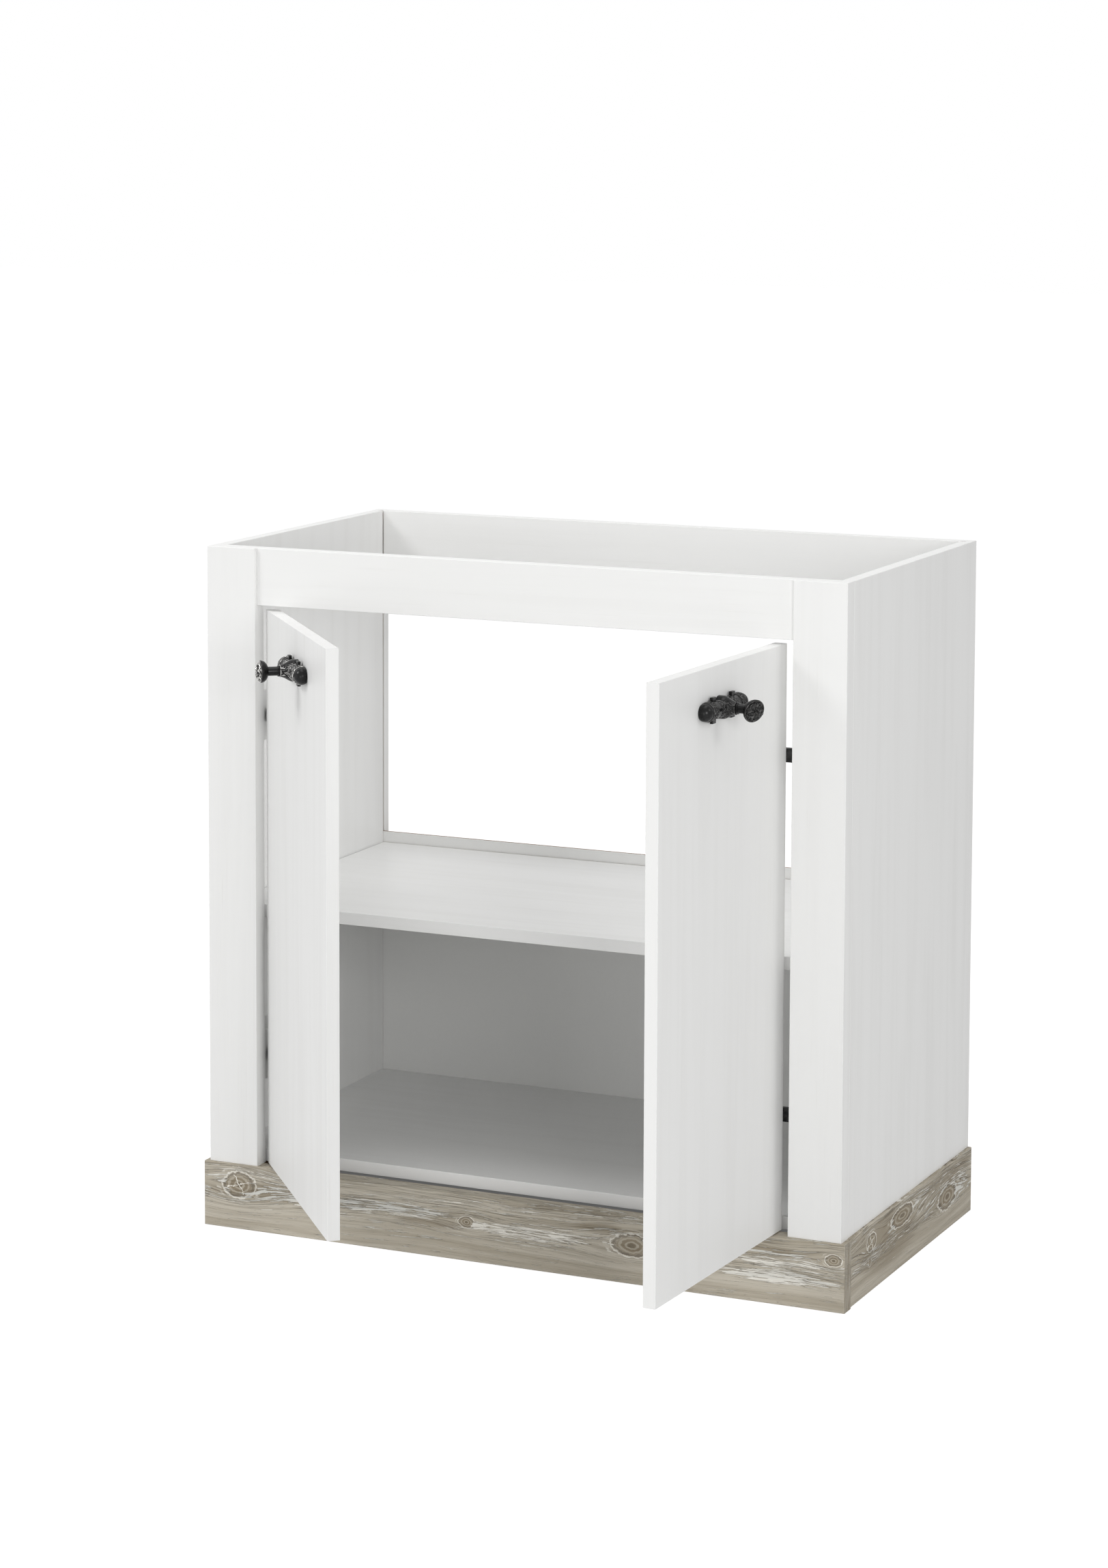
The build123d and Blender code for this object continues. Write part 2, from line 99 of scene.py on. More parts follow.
def made(tree, kind, feeds=None, **settings):
    return outputOf(tree, put(tree, kind, feeds, **settings))


def calc(operation, *values):
    tree = next(value.tree for value in values if isinstance(value, Wire))
    node = put(tree, "ShaderNodeMath", operation=operation)
    for socket, value in zip(node.inputs, values):
        feed(socket, value)
    return outputOf(tree, node)


def vectorCalc(operation, first, second, output="Vector"):
    node = put(first.tree, "ShaderNodeVectorMath", operation=operation)
    feed(node.inputs[0], first)
    feed(node.inputs[1], second)
    return outputOf(first.tree, node, output)


# 0 below low, 1 above high, and a soft step between them
def rise(value, low, high):
    node = put(value.tree, "ShaderNodeMapRange", interpolation_type="SMOOTHSTEP")
    for socket, given in zip(node.inputs, (value, low, high, 0.0, 1.0)):
        feed(socket, given)
    return outputOf(value.tree, node)


# 1 in the middle and 0 from the half width on
def band(value, middle, halfWidth):
    return 1.0 - rise(abs(value - middle), halfWidth * 0.4, halfWidth)


def colour(value):
    return value if isinstance(value, Wire) else (*value, 1.0)


# The numbers are the colour sockets of this node, whose names aren't unique
def mixColour(factor, first, second):
    node = put(factor.tree, "ShaderNodeMix", data_type="RGBA", clamp_factor=True)
    for number, value in ((0, factor), (6, colour(first)), (7, colour(second))):
        feed(node.inputs[number], value)
    return outputOf(factor.tree, node, 2)


def bumpUp(height, distance, strength=1.0):
    return made(height.tree, "ShaderNodeBump", {"Height": height, "Distance": distance, "Strength": strength})


def noiseOf(vector, detail, roughness=0.5, distortion=0.0):
    feeds = {"Vector": vector, "Scale": 1.0, "Detail": detail}
    feeds |= {"Roughness": roughness, "Distortion": distortion}
    return made(vector.tree, "ShaderNodeTexNoise", feeds)


def placeOf(tree, kind="Object"):
    return outputOf(tree, tree.nodes.new("ShaderNodeTexCoord"), kind)


def partsOf(vector):
    return outputsOf(vector.tree, put(vector.tree, "ShaderNodeSeparateXYZ", {"Vector": vector}))


def newGroup(name, takes, gives):
    group = bpy.data.node_groups.new(name, "ShaderNodeTree")
    for label, kind, value in takes:
        socket = group.interface.new_socket(label, in_out="INPUT", socket_type="NodeSocket" + kind)
        socket.default_value = value
    for label, kind in gives:
        group.interface.new_socket(label, in_out="OUTPUT", socket_type="NodeSocket" + kind)
    take = outputsOf(group, group.nodes.new("NodeGroupInput"))
    return group, take, group.nodes.new("NodeGroupOutput").inputs


def useGroup(tree, group, feeds):
    return outputsOf(tree, put(tree, "ShaderNodeGroup", feeds, node_tree=group))


def coat(surface, tone, rough, normal):
    feed(surface["Base Color"], tone)
    feed(surface["Roughness"], rough)
    feed(surface["Normal"], normal)


def newMaterial(name):
    material = bpy.data.materials.new(name)
    material.use_nodes = True
    material.node_tree.nodes.clear()
    return material, material.node_tree


def newSurface(name):
    material, tree = newMaterial(name)
    surface = tree.nodes.new("ShaderNodeBsdfPrincipled")
    output = tree.nodes.new("ShaderNodeOutputMaterial")
    tree.links.new(surface.outputs[0], output.inputs["Surface"])
    return material, tree, surface.inputs


# Camera, floor and light

cameraSet = {
    "place": (1.871124, -4.528635, 1.367767),
    "turn": 25.22,  # degrees, from looking straight at the wall
    "down": 5.64,
    "roll": 0.082,
    "lens": 91.39,
    "sensor": 36.0,
    "shift": (0.05, -0.2),
    "reach": 100.0,
}
studio = {
    "sky": 0.44,  # light from all round
    "backdrop": 1.0,  # what the lens sees of it
    "aim": (0.0, -0.3, 0.4),  # of every softbox that names no other
    "floorSize": 40.0,
    "floorLevel": -0.0003,
    "floorColour": (0.6, 0.6, 0.6),
    "floorGlow": 0.79,  # what the lens sees of the floor apart from the light on it
    "floorShadowColour": (0.5, 0.5, 0.5),
    "hiddenGlow": 0.1,  # the same for the dark floor under the cabinet
    "underCabinet": (0.384, 0.427),  # half the width and the depth of that floor
}
softboxes = {
    "camRight": {"place": (2.5, -3.3, 1.23), "size": 1.2, "power": 39.3},
    "frontLow": {"place": (0.3, -3.6, 0.5), "aim": (0.0, -0.45, 0.4), "size": 1.6, "power": 13.6},
    "leftHigh": {"place": (-2.35, -2.13, 3.08), "size": 1.2, "power": 41.9},
    "lowLeft": {"place": (-2.4, -2.4, 0.8), "aim": (0.0, -0.45, 0.4), "size": 1.5, "power": 5.0},
    "rightHigh": {"place": (3.26, -0.59, 2.7), "size": 1.2, "power": 14.4},
    "above": {"place": (0.0, -0.5, 3.3), "size": 2.0, "power": 21.4},
}


def rotation(degrees, axis):
    return Matrix.Rotation(math.radians(degrees), 4, axis)


def addToScene(name, data):
    thing = bpy.data.objects.new(name, data)
    bpy.context.scene.collection.objects.link(thing)
    return thing


def placeCamera(s):
    data = bpy.data.cameras.new("photoCamera")
    data.lens = s["lens"]
    data.sensor_width = s["sensor"]
    data.shift_x, data.shift_y = s["shift"]
    data.clip_end = s["reach"]
    camera = addToScene("photoCamera", data)
    aim = rotation(s["turn"], "Z") @ rotation(90 - s["down"], "X") @ rotation(s["roll"], "Z")
    camera.matrix_world = Matrix.Translation(s["place"]) @ aim
    bpy.context.scene.camera = camera


# One shader for the rays that carry light, another for what the lens, mirrors and glass see
def splitByRay(tree, forLight, forLens, outputKind):
    rays = outputsOf(tree, tree.nodes.new("ShaderNodeLightPath"))
    seen = calc("MAXIMUM", rays["Is Camera Ray"], rays["Is Glossy Ray"])
    both = tree.nodes.new("ShaderNodeMixShader")
    feed(both.inputs[0], calc("MAXIMUM", seen, rays["Is Transmission Ray"]))
    tree.links.new(forLight.outputs[0], both.inputs[1])
    tree.links.new(forLens.outputs[0], both.inputs[2])
    output = tree.nodes.new(outputKind)
    tree.links.new(both.outputs[0], output.inputs["Surface"])


def makeSky(s):
    world = bpy.data.worlds.new("softSky")
    world.use_nodes = True
    tree = world.node_tree
    tree.nodes.clear()
    light = put(tree, "ShaderNodeBackground", {"Color": (1, 1, 1, 1), "Strength": s["sky"]})
    white = put(tree, "ShaderNodeBackground", {"Color": (1, 1, 1, 1), "Strength": s["backdrop"]})
    splitByRay(tree, light, white, "ShaderNodeOutputWorld")
    bpy.context.scene.world = world


# 1 on the floor in the open, 0 on what the cabinet stands over
def openFloor(tree, halfWidth, depth):
    parts = partsOf(placeOf(tree))
    beside = calc("GREATER_THAN", abs(parts["X"]), halfWidth)
    before = calc("GREATER_THAN", abs(parts["Y"] + depth / 2), depth / 2)
    return calc("MAXIMUM", beside, before)


def makeFloor(s):
    half = s["floorSize"] / 2
    mesh = bpy.data.meshes.new("studioFloor")
    corners = ((-half, -half), (half, -half), (half, half), (-half, half))
    mesh.from_pydata([(x, y, s["floorLevel"]) for x, y in corners], [], [(0, 1, 2, 3)])
    material, tree = newMaterial("paleFloor")
    bounce = put(tree, "ShaderNodeBsdfDiffuse", {"Color": colour(s["floorColour"])})
    shade = put(tree, "ShaderNodeBsdfDiffuse", {"Color": colour(s["floorShadowColour"])})
    more = s["floorGlow"] - s["hiddenGlow"]
    strength = openFloor(tree, *s["underCabinet"]) * more + s["hiddenGlow"]
    glow = put(tree, "ShaderNodeEmission", {"Strength": strength})
    seen = tree.nodes.new("ShaderNodeAddShader")
    tree.links.new(shade.outputs[0], seen.inputs[0])
    tree.links.new(glow.outputs[0], seen.inputs[1])
    splitByRay(tree, bounce, seen, "ShaderNodeOutputMaterial")
    mesh.materials.append(material)
    addToScene("studioFloor", mesh)


def hangSoftbox(name, s):
    data = bpy.data.lights.new(name, "AREA")
    data.shape = "SQUARE"
    data.size = s["size"]
    data.energy = s["power"]
    place = Vector(s["place"])
    aim = (Vector(s.get("aim", studio["aim"])) - place).to_track_quat("-Z", "Y").to_matrix().to_4x4()
    addToScene(name, data).matrix_world = Matrix.Translation(place) @ aim


placeCamera(cameraSet)
makeSky(studio)
makeFloor(studio)
for name, box in softboxes.items():
    hangSoftbox(name, box)
bpy.context.scene.view_settings.view_transform = "Standard"
print("camera, floor and light are up")


# Shared surface effects

spotTakes = [("Along", "Float", 0.0), ("Across", "Float", 0.0), ("Centre Along", "Float", 0.0),
             ("Centre Across", "Float", 0.0), ("Half Length", "Float", 0.1), ("Half Height", "Float", 0.01)]
knotSpread = {
    "along": 0.1,  # how fast the push fades along and across the board
    "across": 0.28,
    "push": 0.88,
}
chipTones = {
    "dark": (0.36, 0.235, 0.125),
    "light": (0.66, 0.49, 0.31),
    "gap": (0.16, 0.095, 0.045),
    "gapEdge": (0.45, 0.75),
}


# Noise pulled out along one direction by the scale, as grain or brushing
def makeStreaks():
    takes = [("Position", "Vector", (0, 0, 0)), ("Scale", "Vector", (1, 1, 1)), ("Detail", "Float", 3.0),
             ("Wander", "Float", 0.0), ("Low", "Float", 0.4), ("High", "Float", 0.6)]
    group, take, give = newGroup("streaks", takes, [("Mask", "Float"), ("Raw", "Float")])
    stretched = vectorCalc("MULTIPLY", take["Position"], take["Scale"])
    value = noiseOf(stretched, take["Detail"], roughness=0.55, distortion=take["Wander"])
    feed(give["Mask"], rise(value, take["Low"], take["High"]))
    feed(give["Raw"], value)
    return group


# A mask of the faces that look along one direction of the piece itself
def makeFacing():
    takes = [("Direction", "Vector", (0, 1, 0)), ("Low", "Float", 0.7), ("High", "Float", 0.8)]
    group, take, give = newGroup("facing", takes, [("Mask", "Float")])
    dot = vectorCalc("DOT_PRODUCT", placeOf(group, "Normal"), take["Direction"], "Value")
    feed(give["Mask"], rise(dot, take["Low"], take["High"]))
    return group


# Pressed wood flakes, for raw cut edges
def makeChipboard():
    takes = [("Position", "Vector", (0, 0, 0)), ("Flakes", "Float", 420.0)]
    group, take, give = newGroup("chipboard", takes, [("Colour", "Color"), ("Height", "Float")])
    feeds = {"Vector": take["Position"], "Scale": take["Flakes"]}
    cells = outputsOf(group, put(group, "ShaderNodeTexVoronoi", feeds))
    tone = made(group, "ShaderNodeSeparateColor", {"Color": cells["Color"]})
    gap = rise(cells["Distance"], *chipTones["gapEdge"])
    flake = mixColour(tone, chipTones["dark"], chipTones["light"])
    feed(give["Colour"], mixColour(gap, flake, chipTones["gap"]))
    feed(give["Height"], tone - gap)
    return group


# Squares of the distances from a spot's middle along and across the board, in the spot's own half sizes
def spotSquares(take):
    along = (take["Along"] - take["Centre Along"]) / take["Half Length"]
    across = (take["Across"] - take["Centre Across"]) / take["Half Height"]
    return along * along, across * across


# How far a knot pushes the grain aside, and how far from its middle a point is, in its own sizes
def makeKnot():
    group, take, give = newGroup("knot", spotTakes, [("Push", "Float"), ("Distance", "Float")])
    along, across = spotSquares(take)
    fade = calc("EXPONENT", (along * knotSpread["along"] + across * knotSpread["across"]) * -1.0)
    feed(give["Push"], fade * knotSpread["push"] * (take["Across"] - take["Centre Across"]))
    feed(give["Distance"], calc("SQRT", along + across))
    return group


# A soft-edged oval place on a board, where paint is left, and where the wood is darker
def makePatch():
    group, take, give = newGroup("patch", spotTakes, [("Mask", "Float")])
    along, across = spotSquares(take)
    feed(give["Mask"], 1.0 - rise(along + across, 0.2, 1.0))
    return group


streaks = makeStreaks()
facing = makeFacing()
chipboard = makeChipboard()
knot = makeKnot()
patch = makePatch()


def lines(place, scale, low=0.4, high=0.6, detail=3.0, wander=0.0):
    feeds = {"Position": place, "Scale": scale, "Detail": detail, "Wander": wander, "Low": low, "High": high}
    return useGroup(place.tree, streaks, feeds)["Mask"]


def cloud(place, scale, detail):
    feeds = {"Position": place, "Scale": (scale, scale, scale), "Detail": detail}
    return useGroup(place.tree, streaks, feeds)["Raw"]


def facesTowards(tree, direction, low=0.7, high=0.8):
    return useGroup(tree, facing, {"Direction": direction, "Low": low, "High": high})["Mask"]


# White foil, with a pine grain so faint that it shows only close up

foil = {
    "colour": (0.865, 0.865, 0.855),
    "grain": (0.85, 0.849, 0.838),
    "pores": (0.82, 0.815, 0.80),
    "roughness": 0.40,
    "grainRoughness": 0.52,
    "rawRoughness": 0.85,
    "uprightScale": (55.0, 55.0, 2.2),
    "lyingScale": (2.2, 55.0, 55.0),
    "grainLines": (0.42, 0.7, 4.0, 0.6),  # low, high, detail and wander
    "poreLines": (0.62, 0.74, 2.0),
    "poreAcross": 9.0,  # how much finer than the grain across it, and along it
    "poreAlong": 4.0,
    "poreDepth": 0.6,
    "flakeDepth": 4.0,
    "bumpHeight": 0.00006,
    "ior": 1.45,
}


def makeFoil(name, grainScale, rawDirection=None):
    s = foil
    material, tree, surface = newSurface(name)
    place = placeOf(tree)
    fine = tuple(v * (s["poreAcross"] if v > 10 else s["poreAlong"]) for v in grainScale)
    grain = lines(place, grainScale, *s["grainLines"])
    pores = lines(place, fine, *s["poreLines"])
    tone = mixColour(pores * grain, mixColour(grain, s["colour"], s["grain"]), s["pores"])
    rough = grain * (s["grainRoughness"] - s["roughness"]) + s["roughness"]
    height = 1.0 - (pores * s["poreDepth"] + grain * (1 - s["poreDepth"]))
    if rawDirection:
        raw = facesTowards(tree, rawDirection)
        flakes = useGroup(tree, chipboard, {"Position": place})
        tone = mixColour(raw, tone, flakes["Colour"])
        rough = calc("MAXIMUM", rough, raw * s["rawRoughness"])
        height = flakes["Height"] * raw * s["flakeDepth"] + height
    coat(surface, tone, rough, bumpUp(height, s["bumpHeight"]))
    surface["IOR"].default_value = s["ior"]
    return material


foilUpright = makeFoil("foilUprightGrain", foil["uprightScale"])
foilUprightRaw = makeFoil("foilUprightGrainRawBack", foil["uprightScale"], (0, 1, 0))
foilLying = makeFoil("foilLyingGrain", foil["lyingScale"])
foilLyingRaw = makeFoil("foilLyingGrainRawBack", foil["lyingScale"], (0, 1, 0))
print("white foil is ready")


# Worn plinth wood: lengths along and heights across are in metres on the board

plinthWood = {
    "pale": (0.585, 0.54, 0.455),
    "dull": (0.45, 0.405, 0.325),
    "brown": (0.235, 0.19, 0.128),
    "crack": (0.10, 0.078, 0.052),
    "paint": (0.87, 0.84, 0.765),
    "greyPaint": (0.70, 0.695, 0.65),
    "end": (0.50, 0.465, 0.395),
    "waveScale": (5.0, 5.0, 14.0),
    "sway": 0.016,  # how far the waves carry the grain up and down
    "stretch": 3.0,  # noise places per metre along the board, against those across it
    "upperHalf": (0.028, 0.044),  # heights between which the streaks set in
    "upperSway": 0.012,
    "lowerWear": 0.3,  # what is left of the streaks below
    "broad": ((0.8, 90.0, 25.0), 0.35, 0.68),  # scale, low, high, detail and wander
    "grain": ((1.6, 420.0, 120.0), 0.46, 0.68, 4.0),
    "hair": ((5.0, 1300.0, 400.0), 0.54, 0.68, 2.0),
    "hairAmount": 1.3,  # against the grain's
    "shade": 0.5,
    "bumpHeight": 0.0004,
    "hairDepth": 0.8,
    "grainDepth": 0.35,
    "roughness": 0.74,
    "paintRoughness": 0.56,
    "ior": 1.4,
}
knotLook = {
    "noiseScale": (160.0, 160.0, 220.0),
    "ringCount": 17.0,
    "ringWobble": 5.0,
    "ringEdge": (-0.3, 0.8),
    "ragged": 0.5,
    "inside": (0.72, 1.0),  # the rest in the knot's own half sizes from its middle
    "core": (0.08, 0.35),
    "rim": (0.98, 0.12),  # middle and half width
    "halo": (1.16, 0.09),
    "outerHalo": (1.5, 0.12),
    "amounts": {"inside": 0.85, "core": 0.5, "rim": 0.6, "halo": 0.75},
}
crossLook = {
    "wobble": 0.008,
    "lean": (0.55, -0.35),  # of the upright crack and the level one
    "half": (0.0009, 0.0007),
    "reach": (2800.0, 5200.0, 0.8),  # an oval: factors of the squares along and across, and their limit
}
flakeLook = {
    "flakes": ((11.0, 860.0, 200.0), 0.0, 1.0, 5.0, 0.3),
    "clusters": ((1.4, 70.0, 20.0), 0.4, 0.62, 2.0),
    "limit": 0.71,  # noise above this keeps its paint
    "reach": 0.4,  # how far a patch's cover lowers that limit
    "edge": 0.03,
    "stray": 0.36,  # cover in the upper half, outside the patches
    # rim: the dark rim round each flake, partly painted shade under its edge
    "rim": (-0.012, 0.03),
    "shadeRimCover": (0.08, 0.35),
    "shadeRimAmount": 0.55,
    "amount": 0.92,
}
endLook = ((900.0, 900.0, 25.0), 0.4, 0.65)


# An oval on a board: its middle along and up, its half sizes, and the paint it keeps
def oval(along, across, halfLength, halfHeight, cover=0.0):
    place = {"Centre Along": along, "Centre Across": across, "Half Length": halfLength}
    return {"place": {**place, "Half Height": halfHeight}, "cover": cover}


frontKnots = (
    oval(-0.359, 0.054, 0.019, 0.014),
    oval(-0.059, 0.046, 0.009, 0.006),
    oval(0.149, 0.045, 0.022, 0.012),
    oval(0.393, 0.059, 0.009, 0.006),
)
frontPaint = (
    oval(-0.300, 0.050, 0.110, 0.020, 0.46),
    oval(-0.170, 0.050, 0.110, 0.011, 0.66),
    oval(0.020, 0.0425, 0.110, 0.010, 0.74),
    oval(0.130, 0.052, 0.060, 0.012, 0.4),
    oval(0.320, 0.052, 0.090, 0.012, 0.62),
    oval(0.330, 0.032, 0.100, 0.010, 0.72),
    oval(-0.150, 0.022, 0.060, 0.006, 0.3),
)
frontShade = (
    oval(-0.300, 0.050, 0.060, 0.014),
    oval(-0.100, 0.040, 0.060, 0.007),
    oval(0.110, 0.060, 0.040, 0.008),
    oval(0.300, 0.062, 0.060, 0.006),
)
sideKnots = (
    oval(-0.360, 0.057, 0.014, 0.009),
    oval(-0.365, 0.035, 0.004, 0.004),
    oval(-0.255, 0.060, 0.034, 0.010),
    oval(-0.091, 0.040, 0.030, 0.013),
)
sidePaint = (
    oval(-0.360, 0.056, 0.040, 0.014, 0.3),
    oval(-0.170, 0.058, 0.080, 0.016, 0.4),
    oval(-0.060, 0.045, 0.070, 0.026, 0.48),
)
sideShade = (
    oval(-0.300, 0.045, 0.120, 0.040),
    oval(-0.120, 0.055, 0.090, 0.024),
    oval(-0.050, 0.060, 0.050, 0.018),
)


# Where a point is on a board that lies along X or Y, and the slow waves of its grain
def boardPlace(tree, lengthAxis):
    place = placeOf(tree)
    parts = partsOf(place)
    wave = noiseOf(vectorCalc("MULTIPLY", place, plinthWood["waveScale"]), 1.0)
    depth = parts["Y" if lengthAxis == "X" else "X"]
    return {"place": place, "along": parts[lengthAxis], "across": parts["Z"], "depth": depth, "wave": wave}


def onBoard(board, group, spot):
    feeds = {"Along": board["along"], "Across": board["across"], **spot["place"]}
    return useGroup(board["along"].tree, group, feeds)


# Places in the grain, bent round the knots, and the distance from the nearest knot in its own sizes
def bendGrain(tree, board, knots):
    flow = board["wave"] * plinthWood["sway"] + board["across"]
    found = [onBoard(board, knot, spot) for spot in knots]
    near = found[0]["Distance"]
    for each in found:
        flow = flow - each["Push"]
        near = calc("MINIMUM", near, each["Distance"])
    feeds = {"X": board["along"] * plinthWood["stretch"], "Y": flow, "Z": board["depth"]}
    return made(tree, "ShaderNodeCombineXYZ", feeds), near


# Rings inside each knot, its dark core and rim, and pale lines round it
def drawKnots(tone, near, noise, ragged, inside, grain):
    s, amounts = knotLook, knotLook["amounts"]
    rings = calc("SINE", near * s["ringCount"] + noise * s["ringWobble"])
    ringTone = mixColour(rise(rings, *s["ringEdge"]), plinthWood["brown"], plinthWood["dull"])
    tone = mixColour(inside * amounts["inside"], tone, ringTone)
    tone = mixColour((1.0 - rise(near, *s["core"])) * amounts["core"], tone, plinthWood["crack"])
    tone = mixColour(band(ragged, *s["rim"]) * amounts["rim"], tone, plinthWood["crack"])
    halo = calc("MAXIMUM", band(ragged, *s["halo"]), band(ragged, *s["outerHalo"]) * grain)
    return mixColour(halo * amounts["halo"], tone, plinthWood["paint"])


# Two pale cracks that cross in one knot
def crackKnot(board, tone, spot, noise):
    s = crossLook
    x = board["along"] - spot["place"]["Centre Along"]
    z = board["across"] - spot["place"]["Centre Across"]
    wobble = (noise - 0.5) * s["wobble"]
    upright = band(z * s["lean"][0] + x + wobble, 0.0, s["half"][0])
    level = band(x * s["lean"][1] + z + wobble, 0.0, s["half"][1])
    wide, high, limit = s["reach"]
    heart = calc("LESS_THAN", x * x * wide + z * z * high, limit)
    return mixColour(calc("MAXIMUM", upright, level) * heart, tone, plinthWood["paint"])


# Flakes of old paint, most of them in the patches and none on the knots, each with a dark rim that is partly an
# outline and partly painted shade under its edge
def flakePaint(board, bent, tone, paint, upper, broad, inside):
    s = flakeLook
    cover = upper * lines(bent, *s["clusters"]) * s["stray"]
    for spot in paint:
        cover = calc("MAXIMUM", cover, onBoard(board, patch, spot)["Mask"] * spot["cover"])
    cover = cover * (1.0 - inside)
    excess = cover * s["reach"] + lines(bent, *s["flakes"]) - s["limit"]
    left = rise(excess, 0.0, s["edge"])
    # The rim darkens the wood round each flake: painted shade under the flake's edge, and an outline
    rim = band(excess, *s["rim"]) * rise(cover, *s["shadeRimCover"])
    tone = mixColour(rim * s["shadeRimAmount"], tone, plinthWood["brown"])
    paintTone = mixColour(broad, plinthWood["greyPaint"], plinthWood["paint"])
    return mixColour(left * s["amount"], tone, paintTone), left


def makeWornWood(name, lengthAxis, knots, paint, shade, grainAmount):
    s = plinthWood
    material, tree, surface = newSurface(name)
    board = boardPlace(tree, lengthAxis)
    bent, near = bendGrain(tree, board, knots)
    upper = rise(board["wave"] * s["upperSway"] + board["across"], *s["upperHalf"])
    worn = upper * (1 - s["lowerWear"]) + s["lowerWear"]
    broad = lines(bent, *s["broad"])
    grain = lines(bent, *s["grain"]) * worn
    hair = lines(bent, *s["hair"]) * worn
    tone = mixColour(broad, s["dull"], s["pale"])
    tone = mixColour(grain * grainAmount, tone, s["brown"])
    tone = mixColour(hair * (grainAmount * s["hairAmount"]), tone, s["crack"])
    # Darker brown ovals on the board
    for spot in shade:
        tone = mixColour(onBoard(board, patch, spot)["Mask"] * s["shade"], tone, s["brown"])
    noise = noiseOf(vectorCalc("MULTIPLY", board["place"], knotLook["noiseScale"]), 2.0)
    ragged = (noise - 0.5) * knotLook["ragged"] + near
    inside = 1.0 - rise(ragged, *knotLook["inside"])
    tone = drawKnots(tone, near, noise, ragged, inside, grain)
    tone = crackKnot(board, tone, knots[0], noise)
    tone, left = flakePaint(board, bent, tone, paint, upper, broad, inside)
    ends = facesTowards(tree, (1, 0, 0) if lengthAxis == "X" else (0, 1, 0))
    endTone = mixColour(lines(board["place"], *endLook), s["end"], s["brown"])
    feed(surface["Base Color"], mixColour(ends, tone, endTone))
    feed(surface["Roughness"], left * (s["paintRoughness"] - s["roughness"]) + s["roughness"])
    height = left - (hair * s["hairDepth"] + grain * s["grainDepth"])
    feed(surface["Normal"], bumpUp(height, s["bumpHeight"]))
    surface["IOR"].default_value = s["ior"]
    return material


wornFront = makeWornWood("wornWoodFront", "X", frontKnots, frontPaint, frontShade, 0.42)
wornSide = makeWornWood("wornWoodSide", "Y", sideKnots, sidePaint, sideShade, 0.62)
print("plinth wood is ready")


# Bare softwood, back panel, metals and plastic

softwoodLook = {
    "rings": ((190.0, 190.0, 9.0), 0.42, 0.62, 3.0, 0.8),
    "fibres": ((1400.0, 1400.0, 40.0), 0.5, 0.75),
    "early": (0.66, 0.49, 0.30),
    "late": (0.50, 0.325, 0.16),
    "fibre": (0.36, 0.22, 0.10),
    "fibreAmount": 0.35,
}
backLook = {
    "fibreScale": 260.0,
    "meshScale": 3600.0,  # radians per metre
    "brown": ((0.17, 0.098, 0.052), (0.34, 0.215, 0.125)),
    "white": ((0.85, 0.85, 0.84), (0.82, 0.82, 0.805)),
    "facing": (-0.3, -0.1),
}
darkMetal = {
    "tones": ((0.045, 0.045, 0.046), (0.10, 0.10, 0.10)),
    "roughness": 0.3,
    "spread": 0.2,  # what brushing and patches add to it
    "patchScale": 130.0,
    "brushScale": (60.0, 60.0, 1800.0),
}
zincMetal = {
    "tones": ((0.52, 0.53, 0.52), (0.70, 0.70, 0.67)),
    "roughness": 0.26,
    "spread": 0.22,
    "patchScale": 240.0,
    "brushScale": (900.0, 900.0, 90.0),
}
bumperLook = {
    "tones": ((0.88, 0.88, 0.86), (0.78, 0.78, 0.76)),
    "scale": (500.0, 500.0, 500.0),
    "clearness": 0.55,
    "ior": 1.48,
}
antique = {
    "sunk": (0.0045, 0.0045, 0.0045),
    "plain": (0.012, 0.012, 0.012),
    "silver": (0.70, 0.69, 0.67),
    "patchScale": 420.0,
    "patchWear": 1.5,  # how much patches and specks add to the relief or take from it
    "speckScale": 1900.0,
    "speckWear": 0.5,
    "worn": (0.52, 0.95),  # where the rubbing begins and is full
    "roughness": (0.13, 0.16),  # the least, and what the patches add
    "sheen": 0.2,  # specular level of the lacquer
}


def makeSoftwood(name):
    s = softwoodLook
    material, tree, surface = newSurface(name)
    place = placeOf(tree)
    fibres = lines(place, *s["fibres"])
    tone = mixColour(lines(place, *s["rings"]), s["early"], s["late"])
    tone = mixColour(fibres * s["fibreAmount"], tone, s["fibre"])
    coat(surface, tone, fibres * 0.1 + 0.62, bumpUp(fibres, 0.0001, 0.6))
    return material


# Thin board, white in front, brown with a pressed mesh behind
def makeBackPanel(name):
    s = backLook
    material, tree, surface = newSurface(name)
    place = placeOf(tree)
    parts = partsOf(place)
    back = facesTowards(tree, (0, 1, 0), *s["facing"])
    fibre = noiseOf(vectorCalc("MULTIPLY", place, (s["fibreScale"],) * 3), 5.0, 0.7)
    threads = [calc("SINE", parts[axis] * s["meshScale"]) for axis in "XZ"]
    screen = calc("MAXIMUM", *threads) * back
    tone = mixColour(back, mixColour(fibre, *s["white"]), mixColour(fibre, *s["brown"]))
    coat(surface, tone, back * 0.32 + 0.45, bumpUp(fibre * 0.4 + screen, 0.0001, 0.7))
    return material


# Plated or coated metal, with faint brushing and fingered patches
def makeMetal(name, s):
    material, tree, surface = newSurface(name)
    place = placeOf(tree)
    brushed = lines(place, s["brushScale"], 0.3, 0.7)
    patches = lines(place, (s["patchScale"],) * 3, 0.35, 0.65, 4.0)
    feed(surface["Base Color"], mixColour(patches, *s["tones"]))
    surface["Metallic"].default_value = 1.0
    feed(surface["Roughness"], (brushed + patches) * (s["spread"] / 2) + s["roughness"])
    feed(surface["Normal"], bumpUp(brushed, 0.00002, 0.5))
    return material


